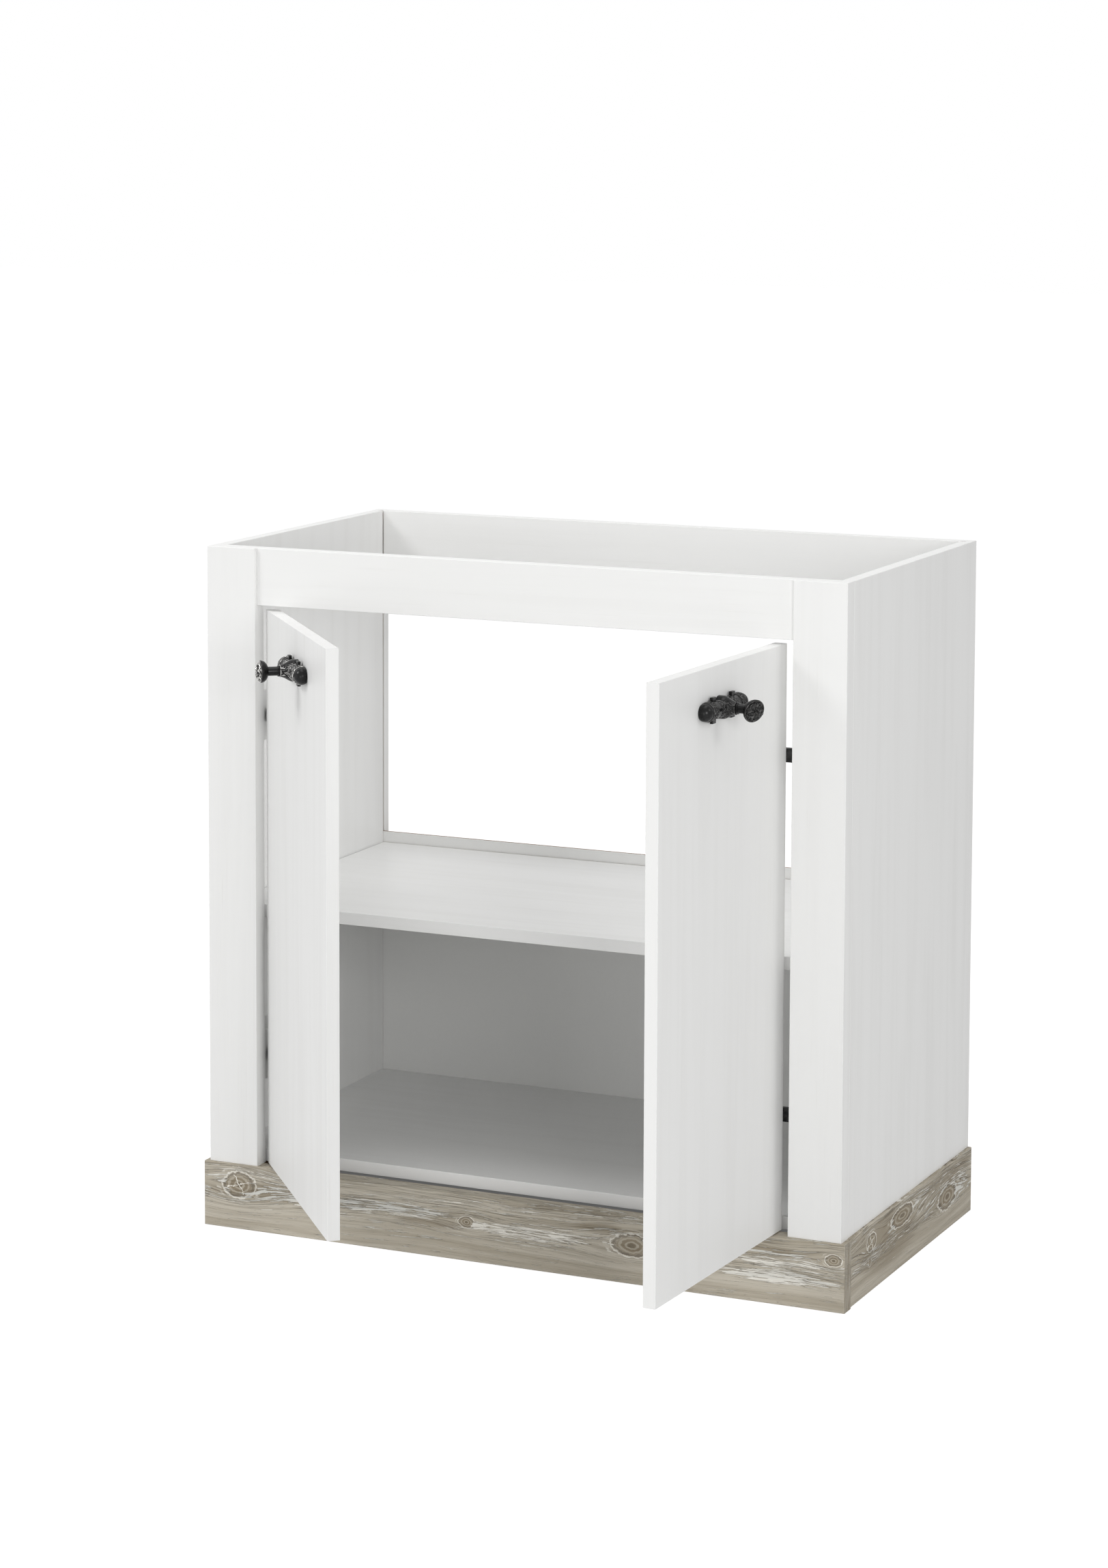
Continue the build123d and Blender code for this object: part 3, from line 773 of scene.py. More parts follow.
def makeBumperPlastic(name):
    s = bumperLook
    material, tree, surface = newSurface(name)
    haze = lines(placeOf(tree), s["scale"], 0.3, 0.7)
    feed(surface["Base Color"], mixColour(haze, *s["tones"]))
    feed(surface["Roughness"], haze * 0.12 + 0.22)
    surface["Transmission Weight"].default_value = s["clearness"]
    surface["IOR"].default_value = s["ior"]
    return material


# Black with the raised places rubbed to silver, by the relief attribute of the mesh; rubbed sets how much, which
# also paints how brightly each knob is lit
def makeAntiqueBlack(name, rubbed):
    s = antique
    material, tree, surface = newSurface(name)
    place = placeOf(tree)
    relief = outputOf(tree, put(tree, "ShaderNodeAttribute", attribute_name="relief"), "Fac")
    patches = cloud(place, s["patchScale"], 4.0)
    specks = cloud(place, s["speckScale"], 2.0)
    worn = (patches - 0.5) * s["patchWear"] + relief
    worn = (specks - 0.5) * s["speckWear"] + worn
    silver = rise(worn, *s["worn"]) * rubbed
    tone = mixColour(patches, s["sunk"], s["plain"])
    feed(surface["Base Color"], mixColour(silver, tone, s["silver"]))
    feed(surface["Metallic"], silver)
    feed(surface["Roughness"], patches * s["roughness"][1] + s["roughness"][0])
    surface["Specular IOR Level"].default_value = s["sheen"]
    feed(surface["Normal"], bumpUp(patches, 0.00005, 0.6))
    return material


softwood = makeSoftwood("bareSoftwood")
backBoard = makeBackPanel("backPanelBoard")
hingeMetal = makeMetal("darkHingeMetal", darkMetal)
zinc = makeMetal("zincPlated", zincMetal)
bumperPlastic = makeBumperPlastic("clearBumperPlastic")
# The two knobs share one finish: the left one's far stronger silver is partly wear and partly a painted highlight
# for the brighter light on its door, the right one's faint silver partly painted shade
antiqueLeftWithPaintedHighlight = makeAntiqueBlack("antiqueBlackLeftPaintedHighlight", 0.88)
antiqueRightWithPaintedShade = makeAntiqueBlack("antiqueBlackRightPaintedShade", 0.16)
print("the other finishes are ready")


# Boards: copies of the CAD boards with their long edges eased

boardEdges = {
    "foilEase": 0.0005,  # metres
    "plinthEase": 0.0009,
    "blockEase": 0.0006,
    "shortest": 0.03,  # edges below this stay sharp, so the bores do
    "cornerAngle": 60,
    "segments": 2,
}
boards = {
    foilUprightRaw: ("left_side_panel", "right_side_panel"),
    foilUpright: ("left_stile", "right_stile", "left_door_panel", "right_door_panel"),
    foilLying: ("apron", "top_back_rail"),
    foilLyingRaw: ("shelf", "bottom_board"),
    wornFront: ("plinth_front_board", "plinth_rear_rail"),
    wornSide: ("plinth_left_board", "plinth_right_board"),
}
slotOf = {row["node"]: row["material_slot"] for row in frame["record"]["subparts"]}
bodyOf = {name: body for body, names in frame["record"]["behaviour"]["bodies"].items() for name in names}


def mergedCopy(name):
    work = bmesh.new()
    work.from_mesh(cadNodes[name].data)
    bmesh.ops.remove_doubles(work, verts=work.verts, dist=1e-6)
    bmesh.ops.dissolve_limit(work, angle_limit=math.radians(1), verts=work.verts, edges=work.edges)
    return work


# A clean mesh from the work, without what the import left on it
def plainMesh(name, work, material):
    work.verts.index_update()
    points = [vert.co[:] for vert in work.verts]
    faces = [[vert.index for vert in face.verts] for face in work.faces]
    mesh = bpy.data.meshes.new(name)
    mesh.from_pydata(points, [], faces)
    mesh.materials.append(material)
    work.free()
    return mesh


# Links a finished piece, hangs it on the body it rides on, and hides the CAD node it stands for
def hangOn(name, mesh, node):
    piece = addToScene(name, mesh)
    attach(piece, bodyOf[node])
    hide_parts(node)


def easeEdges(work, width):
    sharp = math.radians(boardEdges["cornerAngle"])
    edges = [edge for edge in work.edges if len(edge.link_faces) == 2 and edge.is_convex
             and edge.calc_length() > boardEdges["shortest"] and edge.calc_face_angle() > sharp]
    bmesh.ops.bevel(work, geom=edges, offset=width, segments=boardEdges["segments"], profile=0.5,
                    affect="EDGES", clamp_overlap=True)
    bmesh.ops.recalc_face_normals(work, faces=work.faces)


def makeBoard(name, material, width):
    work = mergedCopy(name)
    easeEdges(work, width)
    hangOn(name + "_eased", plainMesh(name + "_eased", work, material), name)


for material, names in boards.items():
    for name in names:
        makeBoard(name, material, boardEdges["plinthEase" if name.startswith("plinth") else "foilEase"])
for name in cadNodes:
    if name.endswith("corner_block"):
        makeBoard(name, softwood, boardEdges["blockEase"])
    if name.endswith("hinge_block"):
        makeBoard(name, foilUpright, boardEdges["blockEase"])
print("boards and blocks are made")


# Geometry Nodes: rings of one small piece, and screws

def newGeometryTree(name, takes):
    tree = bpy.data.node_groups.new(name, "GeometryNodeTree")
    tree.interface.new_socket("Geometry", in_out="INPUT", socket_type="NodeSocketGeometry")
    names = {}
    for label, kind in takes:
        socket = tree.interface.new_socket(label, in_out="INPUT", socket_type="NodeSocket" + kind)
        names[label] = socket.identifier
    tree.interface.new_socket("Geometry", in_out="OUTPUT", socket_type="NodeSocketGeometry")
    return tree, outputsOf(tree, tree.nodes.new("NodeGroupInput")), names


def closeGeometryTree(tree, geometry, material):
    real = made(tree, "GeometryNodeRealizeInstances", {"Geometry": geometry})
    coat = made(tree, "GeometryNodeSetMaterial", {"Geometry": real, "Material": material})
    feed(tree.nodes.new("NodeGroupOutput").inputs["Geometry"], coat)


def onPoints(tree, points, thing, turned, **more):
    shape = outputOf(tree, put(tree, "GeometryNodeObjectInfo", {"Object": thing}), "Geometry")
    feeds = {"Points": points, "Instance": shape, "Rotation": turned, **more}
    return made(tree, "GeometryNodeInstanceOnPoints", feeds)


# The piece points along X, and its ring turns about Z
def makeRingTree():
    takes = (("Piece", "Object"), ("Count", "Int"), ("Radius", "Float"), ("First Angle", "Float"),
             ("Material", "Material"))
    tree, take, names = newGeometryTree("ringOfPieces", takes)
    circle = made(tree, "GeometryNodeMeshCircle", {"Vertices": take["Count"], "Radius": take["Radius"]})
    first = made(tree, "ShaderNodeCombineXYZ", {"Z": take["First Angle"]})
    turned = made(tree, "GeometryNodeTransform", {"Geometry": circle, "Rotation": first})
    outwards = {"Vector": made(tree, "GeometryNodeInputPosition")}
    aim = made(tree, "FunctionNodeAlignRotationToVector", outwards, axis="X", pivot_axis="Z")
    closeGeometryTree(tree, onPoints(tree, turned, take["Piece"], aim), take["Material"])
    return tree, names


# A head on every point, turned to its heading, and a shank as long as its reach
def makeScrewTree():
    takes = (("Head", "Object"), ("Shank", "Object"), ("Material", "Material"))
    tree, take, names = newGeometryTree("screwsOnPoints", takes)
    kind = "GeometryNodeInputNamedAttribute"
    heading = {"Vector": made(tree, kind, {"Name": "heading"}, data_type="FLOAT_VECTOR")}
    reach = made(tree, kind, {"Name": "reach"}, data_type="FLOAT")
    aim = made(tree, "FunctionNodeAlignRotationToVector", heading, axis="Z")
    long = made(tree, "ShaderNodeCombineXYZ", {"X": 1.0, "Y": 1.0, "Z": reach})
    both = tree.nodes.new("GeometryNodeJoinGeometry")
    for label, stretch in (("Head", {}), ("Shank", {"Scale": long})):
        feed(both.inputs[0], onPoints(tree, take["Geometry"], take[label], aim, **stretch))
    closeGeometryTree(tree, outputOf(tree, both), take["Material"])
    return tree, names


ringTree, ringNames = makeRingTree()
screwTree, screwNames = makeScrewTree()


# Runs a tree on a carrier mesh and gives the plain mesh that comes out
def grownMesh(name, carrierMesh, tree, names, values):
    carrier = addToScene(name, carrierMesh)
    grower = carrier.modifiers.new("grower", "NODES")
    grower.node_group = tree
    for label, value in values.items():
        grower[names[label]] = value
    graph = bpy.context.evaluated_depsgraph_get()
    grown = carrier.evaluated_get(graph)
    mesh = bpy.data.meshes.new_from_object(grown, preserve_all_data_layers=True, depsgraph=graph)
    carrier.modifiers.remove(grower)
    bpy.data.objects.remove(carrier)
    return mesh


# A stock piece for the trees, kept out of the scene
def stockPiece(name, mesh):
    return bpy.data.objects.new(name, mesh)


# Turned shapes: an outline of (along, radius) about X, in millimetres

def outlineRows(outline, step):
    rows = []
    for (a0, r0), (a1, r1) in zip(outline, outline[1:]):
        parts = max(1, round(math.hypot(a1 - a0, r1 - r0) / step))
        rows += [(a0 + (a1 - a0) * i / parts, r0 + (r1 - r0) * i / parts) for i in range(parts)]
    return np.array(rows + [outline[-1]])


# Faces between rows of points that go round
def ringFaces(rows, columns):
    faces = []
    for low in range(0, (rows - 1) * columns, columns):
        high = low + columns
        for column in range(columns):
            after = (column + 1) % columns
            faces.append((low + column, low + after, high + after, high + column))
    return faces


def noRelief(along, angle, radius):
    return along * 0.0, along * 0.0


# Relief gives, for every point, a height and how far it is rubbed to silver
def turnedShape(outline, columns, step, relief=noRelief):
    rows = outlineRows(outline, step)
    tangent = np.gradient(rows, axis=0)
    length = np.maximum(np.hypot(tangent[:, 0], tangent[:, 1]), 1e-9)
    out = np.stack([-tangent[:, 1] / length, tangent[:, 0] / length], axis=1)
    angles = np.arange(columns) * 2 * math.pi / columns
    along = np.repeat(rows[:, :1], columns, axis=1)
    radius = np.repeat(rows[:, 1:], columns, axis=1)
    angle = np.repeat(angles[None, :], len(rows), axis=0)
    height, silver = relief(along, angle, radius)
    along = along + out[:, :1] * height
    radius = np.maximum(radius + out[:, 1:] * height, 0.0)
    points = np.stack([along, radius * np.cos(angle), radius * np.sin(angle)], axis=2).reshape(-1, 3)
    return points, ringFaces(len(rows), columns), silver.reshape(-1)


def meshOfWork(name, work):
    mesh = bpy.data.meshes.new(name)
    work.to_mesh(mesh)
    work.free()
    return mesh


def addShape(work, points, faces):
    corners = [work.verts.new(point) for point in points]
    for face in faces:
        work.faces.new([corners[i] for i in face])
    return corners


# One mesh from several (points, faces, silver) shapes, each with its own place
def gatherShapes(name, shapes, material, place):
    work = bmesh.new()
    layer = work.verts.layers.float.new("relief")
    for (points, faces, silver), spot in shapes:
        matrix = place @ spot
        corners = addShape(work, [matrix @ Vector(point) for point in points], faces)
        for vert, rubbed in zip(corners, silver):
            vert[layer] = float(rubbed)
    bmesh.ops.remove_doubles(work, verts=work.verts, dist=2e-6)
    holes = [edge for edge in work.edges if edge.is_boundary]
    if holes:
        bmesh.ops.holes_fill(work, edges=holes, sides=0)
    bmesh.ops.recalc_face_normals(work, faces=work.faces)
    mesh = meshOfWork(name, work)
    mesh.materials.append(material)
    mesh.shade_smooth()
    mesh.set_sharp_from_angle(angle=math.radians(38))
    return mesh


def shapeOfMesh(mesh):
    points = [vert.co[:] for vert in mesh.vertices]
    faces = [tuple(face.vertices) for face in mesh.polygons]
    return points, faces, [item.value for item in mesh.attributes["relief"].data]


def meshOfShape(name, points, faces, silver):
    mesh = bpy.data.meshes.new(name)
    mesh.from_pydata([tuple(point) for point in points], [], faces)
    layer = mesh.attributes.new("relief", "FLOAT", "POINT")
    layer.data.foreach_set("value", [float(v) for v in silver])
    return mesh


# Knobs: millimetres in a frame of their own, with X along the bar to its far end, Y out of the door and Z up

knobSet = {
    "columns": 128,
    "step": 0.42,
    "bossColumns": 96,
    "stemColumns": 72,
    "stemStep": 0.6,
    "rosetteColumns": 96,
    "rosetteStep": 0.35,
    "barAxis": 4.5,  # out from the door's face
    "boss": (12.7, 2.0, 16.8, 6.9),  # radius, where it narrows and ends, from the bar's axis, and its neck
    "postRadius": 5.2,
    "rosetteRoot": 34.8,  # out from the door's face
    "pivot": 3.5,  # from the rosette's root to the point it turns about
    "turn": {"left": (0.0, 0.0), "right": (30.7, 14.0)},
    "beads": {"count": 26, "radius": 0.62, "place": 42.6, "ring": 9.4, "silver": 0.9},
}
lug = {
    "at": 24.5,  # along the bar from its middle
    "half": (4.4, 1.9),
    "reach": 14.2,
    "rounding": ((0.0, 0.55), (0.12, 0.18), (0.5, 0.0)),  # how far from the tip, and how much narrower
    "groove": (0.22, 12.0, 0.3),  # depth, level and half width
    "sides": 48,
    "levels": 12,  # from the middle to a tip
    "inner": 0.96,  # part of the reach that they fill
    "bluntness": 10,
    "silver": 0.18,
}
petalSet = {
    "count": 5,
    "outer": {"size": (9.6, 4.3, 3.1), "from": 1.5, "height": 12.0},  # length, half width and lift
    "inner": {"size": (4.6, 2.0, 2.2), "from": 6.6, "height": 10.4},
    "firstAngle": 0.3,
    "slope": 16,  # degrees they fall off towards the rim
    "steps": 14,
    "sides": 12,
    "below": -0.6,
    "leastWidth": 0.12,
    "outline": (0.8, 0.7),  # powers: how far out it is widest, and how blunt
    "arch": (1.15, 0.12, 0.6),
    "rib": (0.16, 0.8),  # half width and strength
    "tip": (0.93, 0.08),
    "edgeLift": 0.35,
    "flat": 0.35,  # part of lift and silver that doesn't follow the raised lines
}
leaf = {
    "wave": (0.16, 7.0, 1.7),  # how far, how often along the leaf, and how much it shifts round the bar
    "lobes": (0.1, 19.0),  # scalloped edges
    "outline": (0.86, 0.16),
    "rib": (0.13, 0.8, 0.75),  # half width, end and strength
    "veins": (1.6, 3.2, 0.16, 0.55),
    "veinBand": (0.1, 0.75),
}
barLook = {
    "ridge": 0.5,
    "between": 22.0,  # the ornament between the lugs ends here, from the bar's middle
    "saddle": (17.5, 1.75, 1.15, 2.2),  # half length, where it rounds off in front, how far, and power
    "saddleLine": 0.13,
    "outside": 1.12,
    "scroll": (8.5, 7, 0.5),  # leaf length, leaves round the bar and sway
    "edges": ((29.2, 0.5), (31.2, 0.35)),
    "edgeStrength": 0.8,
    "collar": (31.6, 41.2),
    "wreath": (9.6, 8, 0.35),
    "rings": ((41.5, 0.3), (31.8, 0.3)),
    "sunk": (0.35, 0.3),
}
bossLook = {
    "leaves": (6.4, 6.2, 8, 0.25),  # where they start, their length, how many and their sway
    "band": (2.6, 16.4),
    "front": (1.05, 2.2),
    "foot": (16.3, 0.35),
    "ridge": 0.9,
    "sunk": 0.3,
}
rosetteLook = {
    "face": 8.4,  # the front begins here, from the root
    "ring": (11.9, 0.5),
    "ringHeight": 0.3,
    "button": 2.0,
    "buttonSilver": 0.6,
}
barProfile = ((0.0, 9.6), (29.2, 9.6), (30.6, 9.8), (31.6, 10.1), (32.0, 10.4), (41.0, 10.4), (41.4, 10.1),
              (41.8, 9.3), (42.2, 9.2), (42.4, 9.3), (42.8, 10.0), (43.2, 10.25), (43.6, 10.0), (43.9, 9.4),
              (44.2, 9.4))
barDome = (44.2, 9.75, 88.0, 20)  # centre, radius, first angle and steps
stemProfile = ((-1.0, 0.0), (-1.0, 5.4), (0.5, 5.5), (0.7, 6.1), (1.1, 6.35), (1.6, 6.4), (2.1, 6.3),
               (2.4, 5.9))
rosetteProfile = ((0.0, 0.0), (0.0, 5.4), (0.4, 6.6), (1.2, 8.3), (2.1, 9.6), (3.2, 10.8), (4.4, 11.7),
                  (5.8, 12.4), (7.2, 12.75), (8.2, 12.85), (8.7, 12.7), (9.0, 12.2), (9.1, 11.6), (9.0, 11.0),
                  (9.4, 9.6), (10.3, 7.4), (11.2, 4.6), (11.8, 2.2), (12.6, 1.7), (13.1, 0.9), (13.2, 0.0))


def hill(value, middle, halfWidth):
    return np.exp(-((value - middle) / halfWidth) ** 2)


def within(value, low, high):
    return ((value > low) & (value < high)).astype(float)


# Leaves with a rib that wave as they grow, and repeat round the bar: 1 on their raised lines
def leafLines(turned, step, count, sway):
    far, often, shift = leaf["wave"]
    wave = far * np.sin(step * often + turned * shift) + sway * step
    across = np.abs(((turned + wave) * count / (2 * math.pi)) % 1 - 0.5) * 2
    lobes = leaf["lobes"][0] * np.sin(step * leaf["lobes"][1])
    width, soft = leaf["outline"]
    outline = hill(across, width * np.sqrt(np.clip(1 - step, 0.0, 1.0)) + lobes, soft)
    ribWidth, ribEnd, ribStrength = leaf["rib"]
    rib = hill(across, 0.0, ribWidth) * (step < ribEnd)
    slant, many, veinWidth, veinStrength = leaf["veins"]
    veins = hill((across * slant + step * many) % 1, 0.5, veinWidth) * within(across, *leaf["veinBand"])
    return np.clip(np.maximum.reduce([outline, ribStrength * rib, veinStrength * veins]), 0.0, 1.0)


def barRelief(along, angle, radius):
    s = barLook
    turned = (angle + math.pi) % (2 * math.pi) - math.pi  # 0 is away from the door
    place = np.abs(along)
    # Smooth saddles above and below between the lugs, each inside a raised curved line
    reach, middle, half, power = s["saddle"]
    saddle = (place / reach) ** power + (np.clip(middle - np.abs(turned), 0.0, 3.0) / half) ** power
    border = hill(saddle, 1.0, s["saddleLine"]) * (place < s["between"])
    onFront = ((saddle > s["outside"]) & (place < s["between"])).astype(float)
    length, count, sway = s["scroll"]
    scroll = leafLines(turned, (place % length) / length, count, sway) * onFront
    # Raised rings beside each lug, then a wreath on the collar
    edge = sum(hill(place, *each) for each in s["edges"])
    collar = within(place, *s["collar"])
    length, count, sway = s["wreath"]
    wreath = collar * leafLines(turned, np.clip((place - s["collar"][0]) / length, 0.0, 1.0), count, sway)
    rings = np.maximum(*(hill(place, *each) for each in s["rings"]))
    raised = [border, scroll, s["edgeStrength"] * edge, wreath, rings]
    lines = np.clip(np.maximum.reduce(raised), 0.0, 1.0)
    sunk = s["sunk"][0] * collar * (1 - wreath) + s["sunk"][1] * onFront * (1 - scroll)
    return s["ridge"] * lines - sunk, lines


def barOutline():
    centre, radius, first, steps = barDome
    angles = [math.radians(first - first * i / steps) for i in range(steps + 1)]
    right = list(barProfile) + [(centre + radius * math.cos(a), radius * math.sin(a)) for a in angles]
    return [(-a, r) for a, r in reversed(right[1:])] + right


# Leaves that spread over the boss, plain above and below
def bossRelief(along, angle, radius):
    s = bossLook
    start, length, count, sway = s["leaves"]
    onBoss = within(along, *s["band"])
    width, soft = s["front"]
    front = np.clip((width - np.abs(np.sin(angle))) * soft, 0.0, 1.0)
    leaves = leafLines(angle, np.clip((radius - start) / length, 0.0, 1.0), count, sway) * onBoss * front
    lines = np.clip(np.maximum(leaves, hill(along, *s["foot"])), 0.0, 1.0)
    return barLook["ridge"] * s["ridge"] * lines - s["sunk"] * onBoss * front * (1 - leaves), lines


# A smooth neck from the shoulder of the boss to the post
def bossOutline():
    radius, narrow, end, neck = knobSet["boss"]
    outline = [(-knobSet["barAxis"], 0.0), (-knobSet["barAxis"], radius)]
    for i in range(25):
        sweep = 0.5 + 0.5 * math.cos(math.pi * i / 24)
        outline.append((narrow - 1.0 + (end + 0.4 - narrow) * i / 24, neck + (radius - neck) * sweep))
    return outline + [(end - 0.3, 6.7), (end, 6.2), (end, 0.0)]


# A flat plate through the bar, upright, with rounded ends and a groove near each of them
def lugShape():
    sides, reach = lug["sides"], lug["reach"]
    tips = [(-reach + off, inset) for off, inset in lug["rounding"]]
    parts = lug["levels"]
    levels = tips + [(reach * (i / parts - 1) * lug["inner"], 0.0) for i in range(1, 2 * parts)]
    levels += [(-level, inset) for level, inset in reversed(tips)]
    depth, at, soft = lug["groove"]
    power = lug["bluntness"]
    points, silver = [], []
    for level, inset in levels:
        cut = inset + depth * hill(abs(abs(level) - at), 0.0, soft)
        for i in range(sides):
            angle = 2 * math.pi * i / sides
            blunt = (abs(math.cos(angle)) ** power + abs(math.sin(angle)) ** power) ** (-1 / power)
            x, y = (half - cut for half in lug["half"])
            points.append((x * blunt * math.cos(angle), y * blunt * math.sin(angle), level))
            silver.append(lug["silver"] if inset > 0 else 0.0)
    ends = [tuple(range(sides)), tuple(range(len(points) - sides, len(points)))]
    return points, ringFaces(len(levels), sides) + ends, silver


# A cupped leaf as a closed shell that points along X, with raised edges, rib and tip
def petalShape(length, halfWidth, lift):
    s = petalSet
    steps, sides, flat = s["steps"], s["sides"], s["flat"]
    points, silver, faces = [], [], []
    for layer in (1, 0):
        for i in range(steps + 1):
            u = i / steps
            width = s["leastWidth"]
            if 0 < i < steps:
                width += halfWidth * math.sin(math.pi * u ** s["outline"][0]) ** s["outline"][1]
            arch = math.sin(math.pi * min(u * s["arch"][0] + s["arch"][1], 1.0)) ** s["arch"][2]
            for j in range(sides + 1):
                v = 2 * j / sides - 1
                rib = hill(v, 0.0, s["rib"][0]) * (1 - u) * s["rib"][1]
                raised = max(abs(v) ** 3, rib, hill(u, *s["tip"]))
                share = 1.0 if 0 < i < steps and 0 < j < sides else s["edgeLift"]
                high = lift * (flat * arch + (1 - flat) * raised) * share
                points.append((u * length, v * width, high if layer else s["below"]))
                silver.append((flat + (1 - flat) * raised) * layer)
    row = sides + 1
    below = (steps + 1) * row
    for i in range(steps):
        for a in range(i * row, i * row + sides):
            faces.append((a, a + row, a + row + 1, a + 1))
            faces.append((below + a, below + a + 1, below + a + row + 1, below + a + row))
    rim = [i * row for i in range(steps + 1)] + [steps * row + j for j in range(1, sides + 1)]
    rim += [i * row + sides for i in range(steps - 1, -1, -1)] + list(range(sides - 1, 0, -1))
    for a, b in zip(rim, rim[1:] + rim[:1]):
        faces.append((a, b, below + b, below + a))
    return points, faces, silver


def beadShape(radius, silver):
    angles = [math.pi * i / 5 for i in range(6)]
    outline = [(radius * -math.cos(a), radius * math.sin(a)) for a in angles]
    points, faces, plain = turnedShape(outline, 8, radius * 2)
    return points, faces, plain + silver


# Bright line on the rim, and a button in the middle
def rosetteRelief(along, angle, radius):
    s = rosetteLook
    onFace = (along > s["face"]).astype(float)
    ring = hill(radius, *s["ring"]) * onFace
    button = (radius < s["button"]) * onFace
    return s["ringHeight"] * ring, np.clip(ring + s["buttonSilver"] * button, 0.0, 1.0)


# The knob's own frame: from the bar's box, and from how the door stands at rest
def knobFrame(side):
    joint = next(j for j in frame["joints"] if j["child"] == f"{side}_door")
    way = 1 if side == "left" else -1
    angle = math.radians(joint["range_deg"][0]) * way
    outwards = Vector((math.sin(angle), -math.cos(angle), 0.0))
    alongBar = Vector((-math.cos(angle), -math.sin(angle), 0.0)) * way
    points = [vert.co for vert in cadNodes[f"{side}_knob_bar"].data.vertices]
    alongs = [point.dot(alongBar) for point in points]
    heights = [point.z for point in points]
    face = min(point.dot(outwards) for point in points)
    origin = alongBar * (min(alongs) + max(alongs)) / 2 + outwards * face
    origin.z = (min(heights) + max(heights)) / 2
    axes = Matrix((alongBar, outwards, (0, 0, 1))).transposed().to_4x4()
    return Matrix.Translation(origin) @ axes @ Matrix.Scale(0.001, 4)


def ringOf(name, shape, count, radius, firstAngle, material):
    piece = stockPiece(name, meshOfShape(name, *shape))
    values = {"Piece": piece, "Count": count, "Radius": radius, "First Angle": firstAngle}
    values["Material"] = material
    return shapeOfMesh(grownMesh(name + "s", bpy.data.meshes.new(name + "s"), ringTree, ringNames, values))


# Cuts away what would lie behind the door's face
def flattenBack(mesh, place):
    work = bmesh.new()
    work.from_mesh(mesh)
    normal = (place.to_3x3() @ Vector((0, 1, 0))).normalized()
    cut = bmesh.ops.bisect_plane(work, geom=work.verts[:] + work.edges[:] + work.faces[:], clear_outer=True,
                                 plane_co=place @ Vector((0, 0, 0)), plane_no=-normal, dist=1e-7)
    edges = [item for item in cut["geom_cut"] if isinstance(item, bmesh.types.BMEdge)]
    bmesh.ops.holes_fill(work, edges=edges, sides=0)
    bmesh.ops.recalc_face_normals(work, faces=work.faces)
    work.to_mesh(mesh)
    work.free()


def moved(along, out):
    return Matrix.Translation((along, out, 0))


def makeBar(side, material, place):
    k, b = knobSet, knobSet["beads"]
    out = k["barAxis"]
    beads = ringOf("bead", beadShape(b["radius"], b["silver"]), b["count"], b["ring"], 0.0, material)
    boss = turnedShape(bossOutline(), k["bossColumns"], k["step"], bossRelief)
    shapes = [(turnedShape(barOutline(), k["columns"], k["step"], barRelief), moved(0, out))]
    shapes += [(lugShape(), moved(way * lug["at"], out)) for way in (-1, 1)]
    shapes.append((boss, moved(0, out) @ outOfDoor))
    shapes += [(beads, moved(way * b["place"], out) @ rotation(90, "Y")) for way in (-1, 1)]
    mesh = gatherShapes(f"{side}_knob_bar_cast", shapes, material, place)
    flattenBack(mesh, place)
    hangOn(f"{side}_knob_bar_cast", mesh, f"{side}_knob_bar")


def makeStem(side, material, place):
    post, root = knobSet["postRadius"], knobSet["rosetteRoot"]
    start = knobSet["barAxis"] + knobSet["boss"][2]
    outline = [(start + along, radius) for along, radius in stemProfile]
    outline += [(start + 2.6, post), (root - 0.5, post), (root + 3.2, post), (root + 3.2, 0.0)]
    shapes = [(turnedShape(outline, knobSet["stemColumns"], knobSet["stemStep"]), outOfDoor)]
    mesh = gatherShapes(f"{side}_knob_stem", shapes, material, place)
    hangOn(f"{side}_knob_stem", mesh, f"{side}_knob_post")


def makeHead(side, material, place):
    k, p = knobSet, petalSet
    turn, dip = k["turn"][side]
    pivot = moved(0, k["rosetteRoot"] + k["pivot"])
    headPlace = pivot @ rotation(turn, "Z") @ rotation(-dip, "X") @ moved(0, -k["pivot"])
    rosette = turnedShape(rosetteProfile, k["rosetteColumns"], k["rosetteStep"], rosetteRelief)
    shapes = [(rosette, headPlace @ outOfDoor)]
    slope = rotation(p["slope"], "Y")
    for ring, first in ((p["outer"], p["firstAngle"]), (p["inner"], p["firstAngle"] + math.pi / p["count"])):
        points, faces, silver = petalShape(*ring["size"])
        petal = ([slope @ Vector(point) for point in points], faces, silver)
        petals = ringOf("petal", petal, p["count"], ring["from"], first, material)
        shapes.append((petals, headPlace @ moved(0, ring["height"]) @ rotation(-90, "X")))
    mesh = gatherShapes(f"{side}_knob_rosette_cast", shapes, material, place)
    hangOn(f"{side}_knob_rosette_cast", mesh, f"{side}_knob_rosette")


outOfDoor = rotation(90, "Z")  # a turned shape's X becomes Y
for side, material in (("left", antiqueLeftWithPaintedHighlight), ("right", antiqueRightWithPaintedShade)):
    for make in (makeBar, makeStem, makeHead):
        make(side, material, knobFrame(side))
print("knobs are cast")


# Screws: one point for each separate solid of their CAD nodes

screwSet = {
    "pan": (3.7, 1.5),  # radius and height of a head, in millimetres
    "wide": (4.7, 2.0),
    "cross": (0.55, 2.2, 0.9),  # half width, reach and depth
    "dome": 0.3,  # part of the height
    "columns": 48,
    "rings": 12,
    "shank": (1.9, 0.25, 12),  # radius, depth of the thread and number of ridges
    "shankColumns": 16,
    "sharpAngle": 35,
}


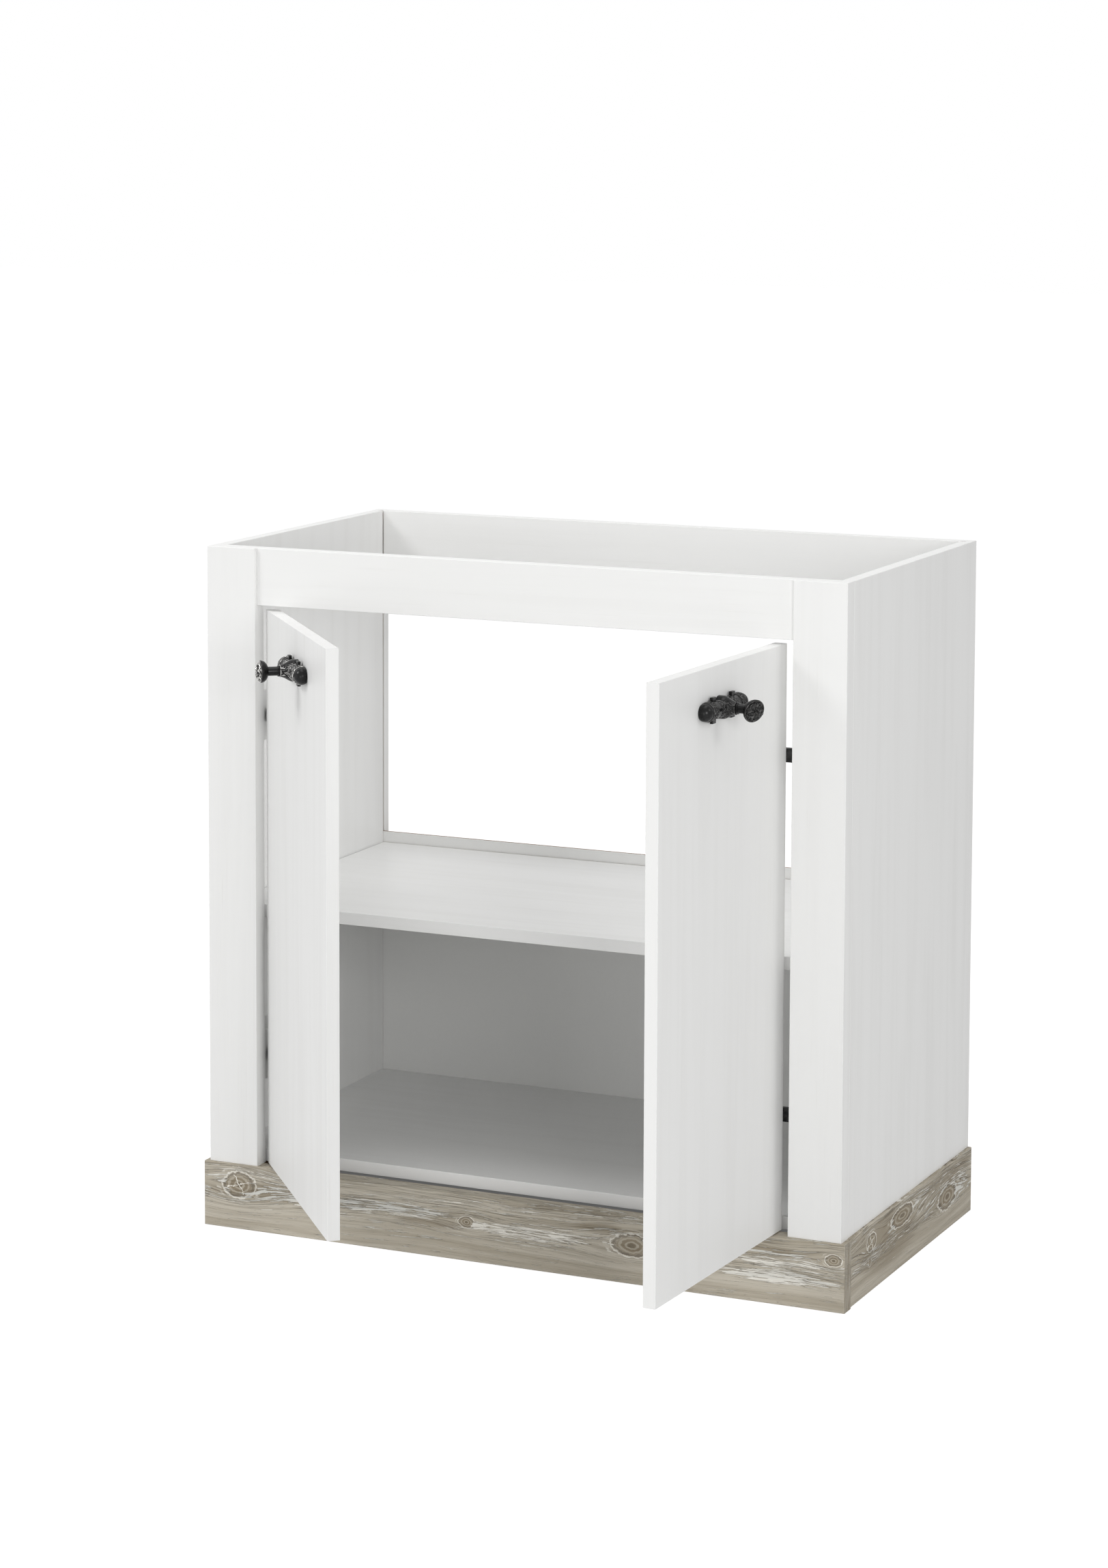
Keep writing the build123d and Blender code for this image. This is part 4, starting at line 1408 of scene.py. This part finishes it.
def solidsOf(name):
    work = mergedCopy(name)
    left = set(work.verts)
    groups = []
    while left:
        start = [left.pop()]
        group = list(start)
        while start:
            for edge in start.pop().link_edges:
                for vert in edge.verts:
                    if vert in left:
                        left.remove(vert)
                        group.append(vert)
                        start.append(vert)
        groups.append(np.array([vert.co[:] for vert in group]))
    work.free()
    return sorted(groups, key=lambda points: tuple(points.mean(axis=0).round(5)))


# The long axis of a screw, pointing from its tip to its wider end
def screwAxis(points):
    centre = points.mean(axis=0)
    axis = np.linalg.eigh(np.cov((points - centre).T))[1][:, -1]
    along = (points - centre) @ axis
    across = np.linalg.norm((points - centre) - np.outer(along, axis), axis=1)
    middle = (along.min() + along.max()) / 2
    if across[along > middle].max() < across[along < middle].max():
        axis = -axis
        along = -along
    return centre + axis * along.max(), axis, along.max() - along.min()


def screwMesh(name, points, faces):
    work = bmesh.new()
    addShape(work, points, faces)
    bmesh.ops.remove_doubles(work, verts=work.verts, dist=1e-7)
    bmesh.ops.recalc_face_normals(work, faces=work.faces)
    return meshOfWork(name, work)


# A pan head with a cross recess, on Z, from zero down to its height
def screwHead(name, radius, height):
    half, reach, depth = screwSet["cross"]
    columns, rings = screwSet["columns"], screwSet["rings"]
    angles = [2 * math.pi * j / columns for j in range(columns)]
    points = []
    for share in [i / rings for i in range(rings + 1)]:
        for x, y in [(radius * share * math.cos(a), radius * share * math.sin(a)) for a in angles]:
            cut = min(abs(x), abs(y)) < half and max(abs(x), abs(y)) < reach and share < 0.9
            points.append((x, y, -screwSet["dome"] * height * share ** 4 - (depth if cut else 0.0)))
    points += [(radius * math.cos(a), radius * math.sin(a), -height) for a in angles]
    base = tuple(range(len(points) - columns, len(points)))
    faces = ringFaces(rings + 2, columns) + [base]
    return screwMesh(name, [Vector(point) * 0.001 for point in points], faces)


# A threaded rod one unit long, below zero
def screwShank(name, radius, depth, ridges):
    outline = [(-1.0, 0.0)]
    for i in range(ridges):
        outline += [(-1.0 + i / ridges, radius - depth), (-1.0 + (i + 0.5) / ridges, radius)]
    outline += [(0.0, radius - depth), (0.0, 0.0)]
    points, faces = turnedShape(outline, screwSet["shankColumns"], 10.0)[:2]
    return screwMesh(name, [(y * 0.001, z * 0.001, x) for x, y, z in points], faces)


def makeScrews(node, head):
    points, headings, reaches = [], [], []
    for solid in solidsOf(node):
        foot, axis, reach = screwAxis(solid)
        points.append(tuple(foot))
        headings += list(axis)
        reaches.append(reach)
    carrier = bpy.data.meshes.new(node + "_points")
    carrier.from_pydata(points, [], [])
    carrier.attributes.new("heading", "FLOAT_VECTOR", "POINT").data.foreach_set("vector", headings)
    carrier.attributes.new("reach", "FLOAT", "POINT").data.foreach_set("value", reaches)
    values = {"Head": head, "Shank": shank, "Material": zinc}
    mesh = grownMesh(node + "_points", carrier, screwTree, screwNames, values)
    mesh.set_sharp_from_angle(angle=math.radians(screwSet["sharpAngle"]))
    hangOn(node + "_cut", mesh, node)


panHead = stockPiece("panHead", screwHead("panHead", *screwSet["pan"]))
wideHead = stockPiece("wideHead", screwHead("wideHead", *screwSet["wide"]))
shank = stockPiece("shank", screwShank("shank", *screwSet["shank"]))
for name in ("hinge_plate_screws", "left_cup_screws", "right_cup_screws"):
    makeScrews(name, panHead)
for name in ("left_knob_screw", "right_knob_screw"):
    makeScrews(name, wideHead)
print("screws are in")


# CAD nodes that keep their own shape

finishOf = {
    "hinge_metal": hingeMetal,
    "zinc_steel": zinc,
    "soft_plastic": bumperPlastic,
    "plain_wood": softwood,
    "back_panel_board": backBoard,
}
for name, node in cadNodes.items():
    if slotOf[name] in finishOf:
        node.data.materials.clear()
        node.data.materials.append(finishOf[slotOf[name]])
print("hinges, pins and cams are dressed")
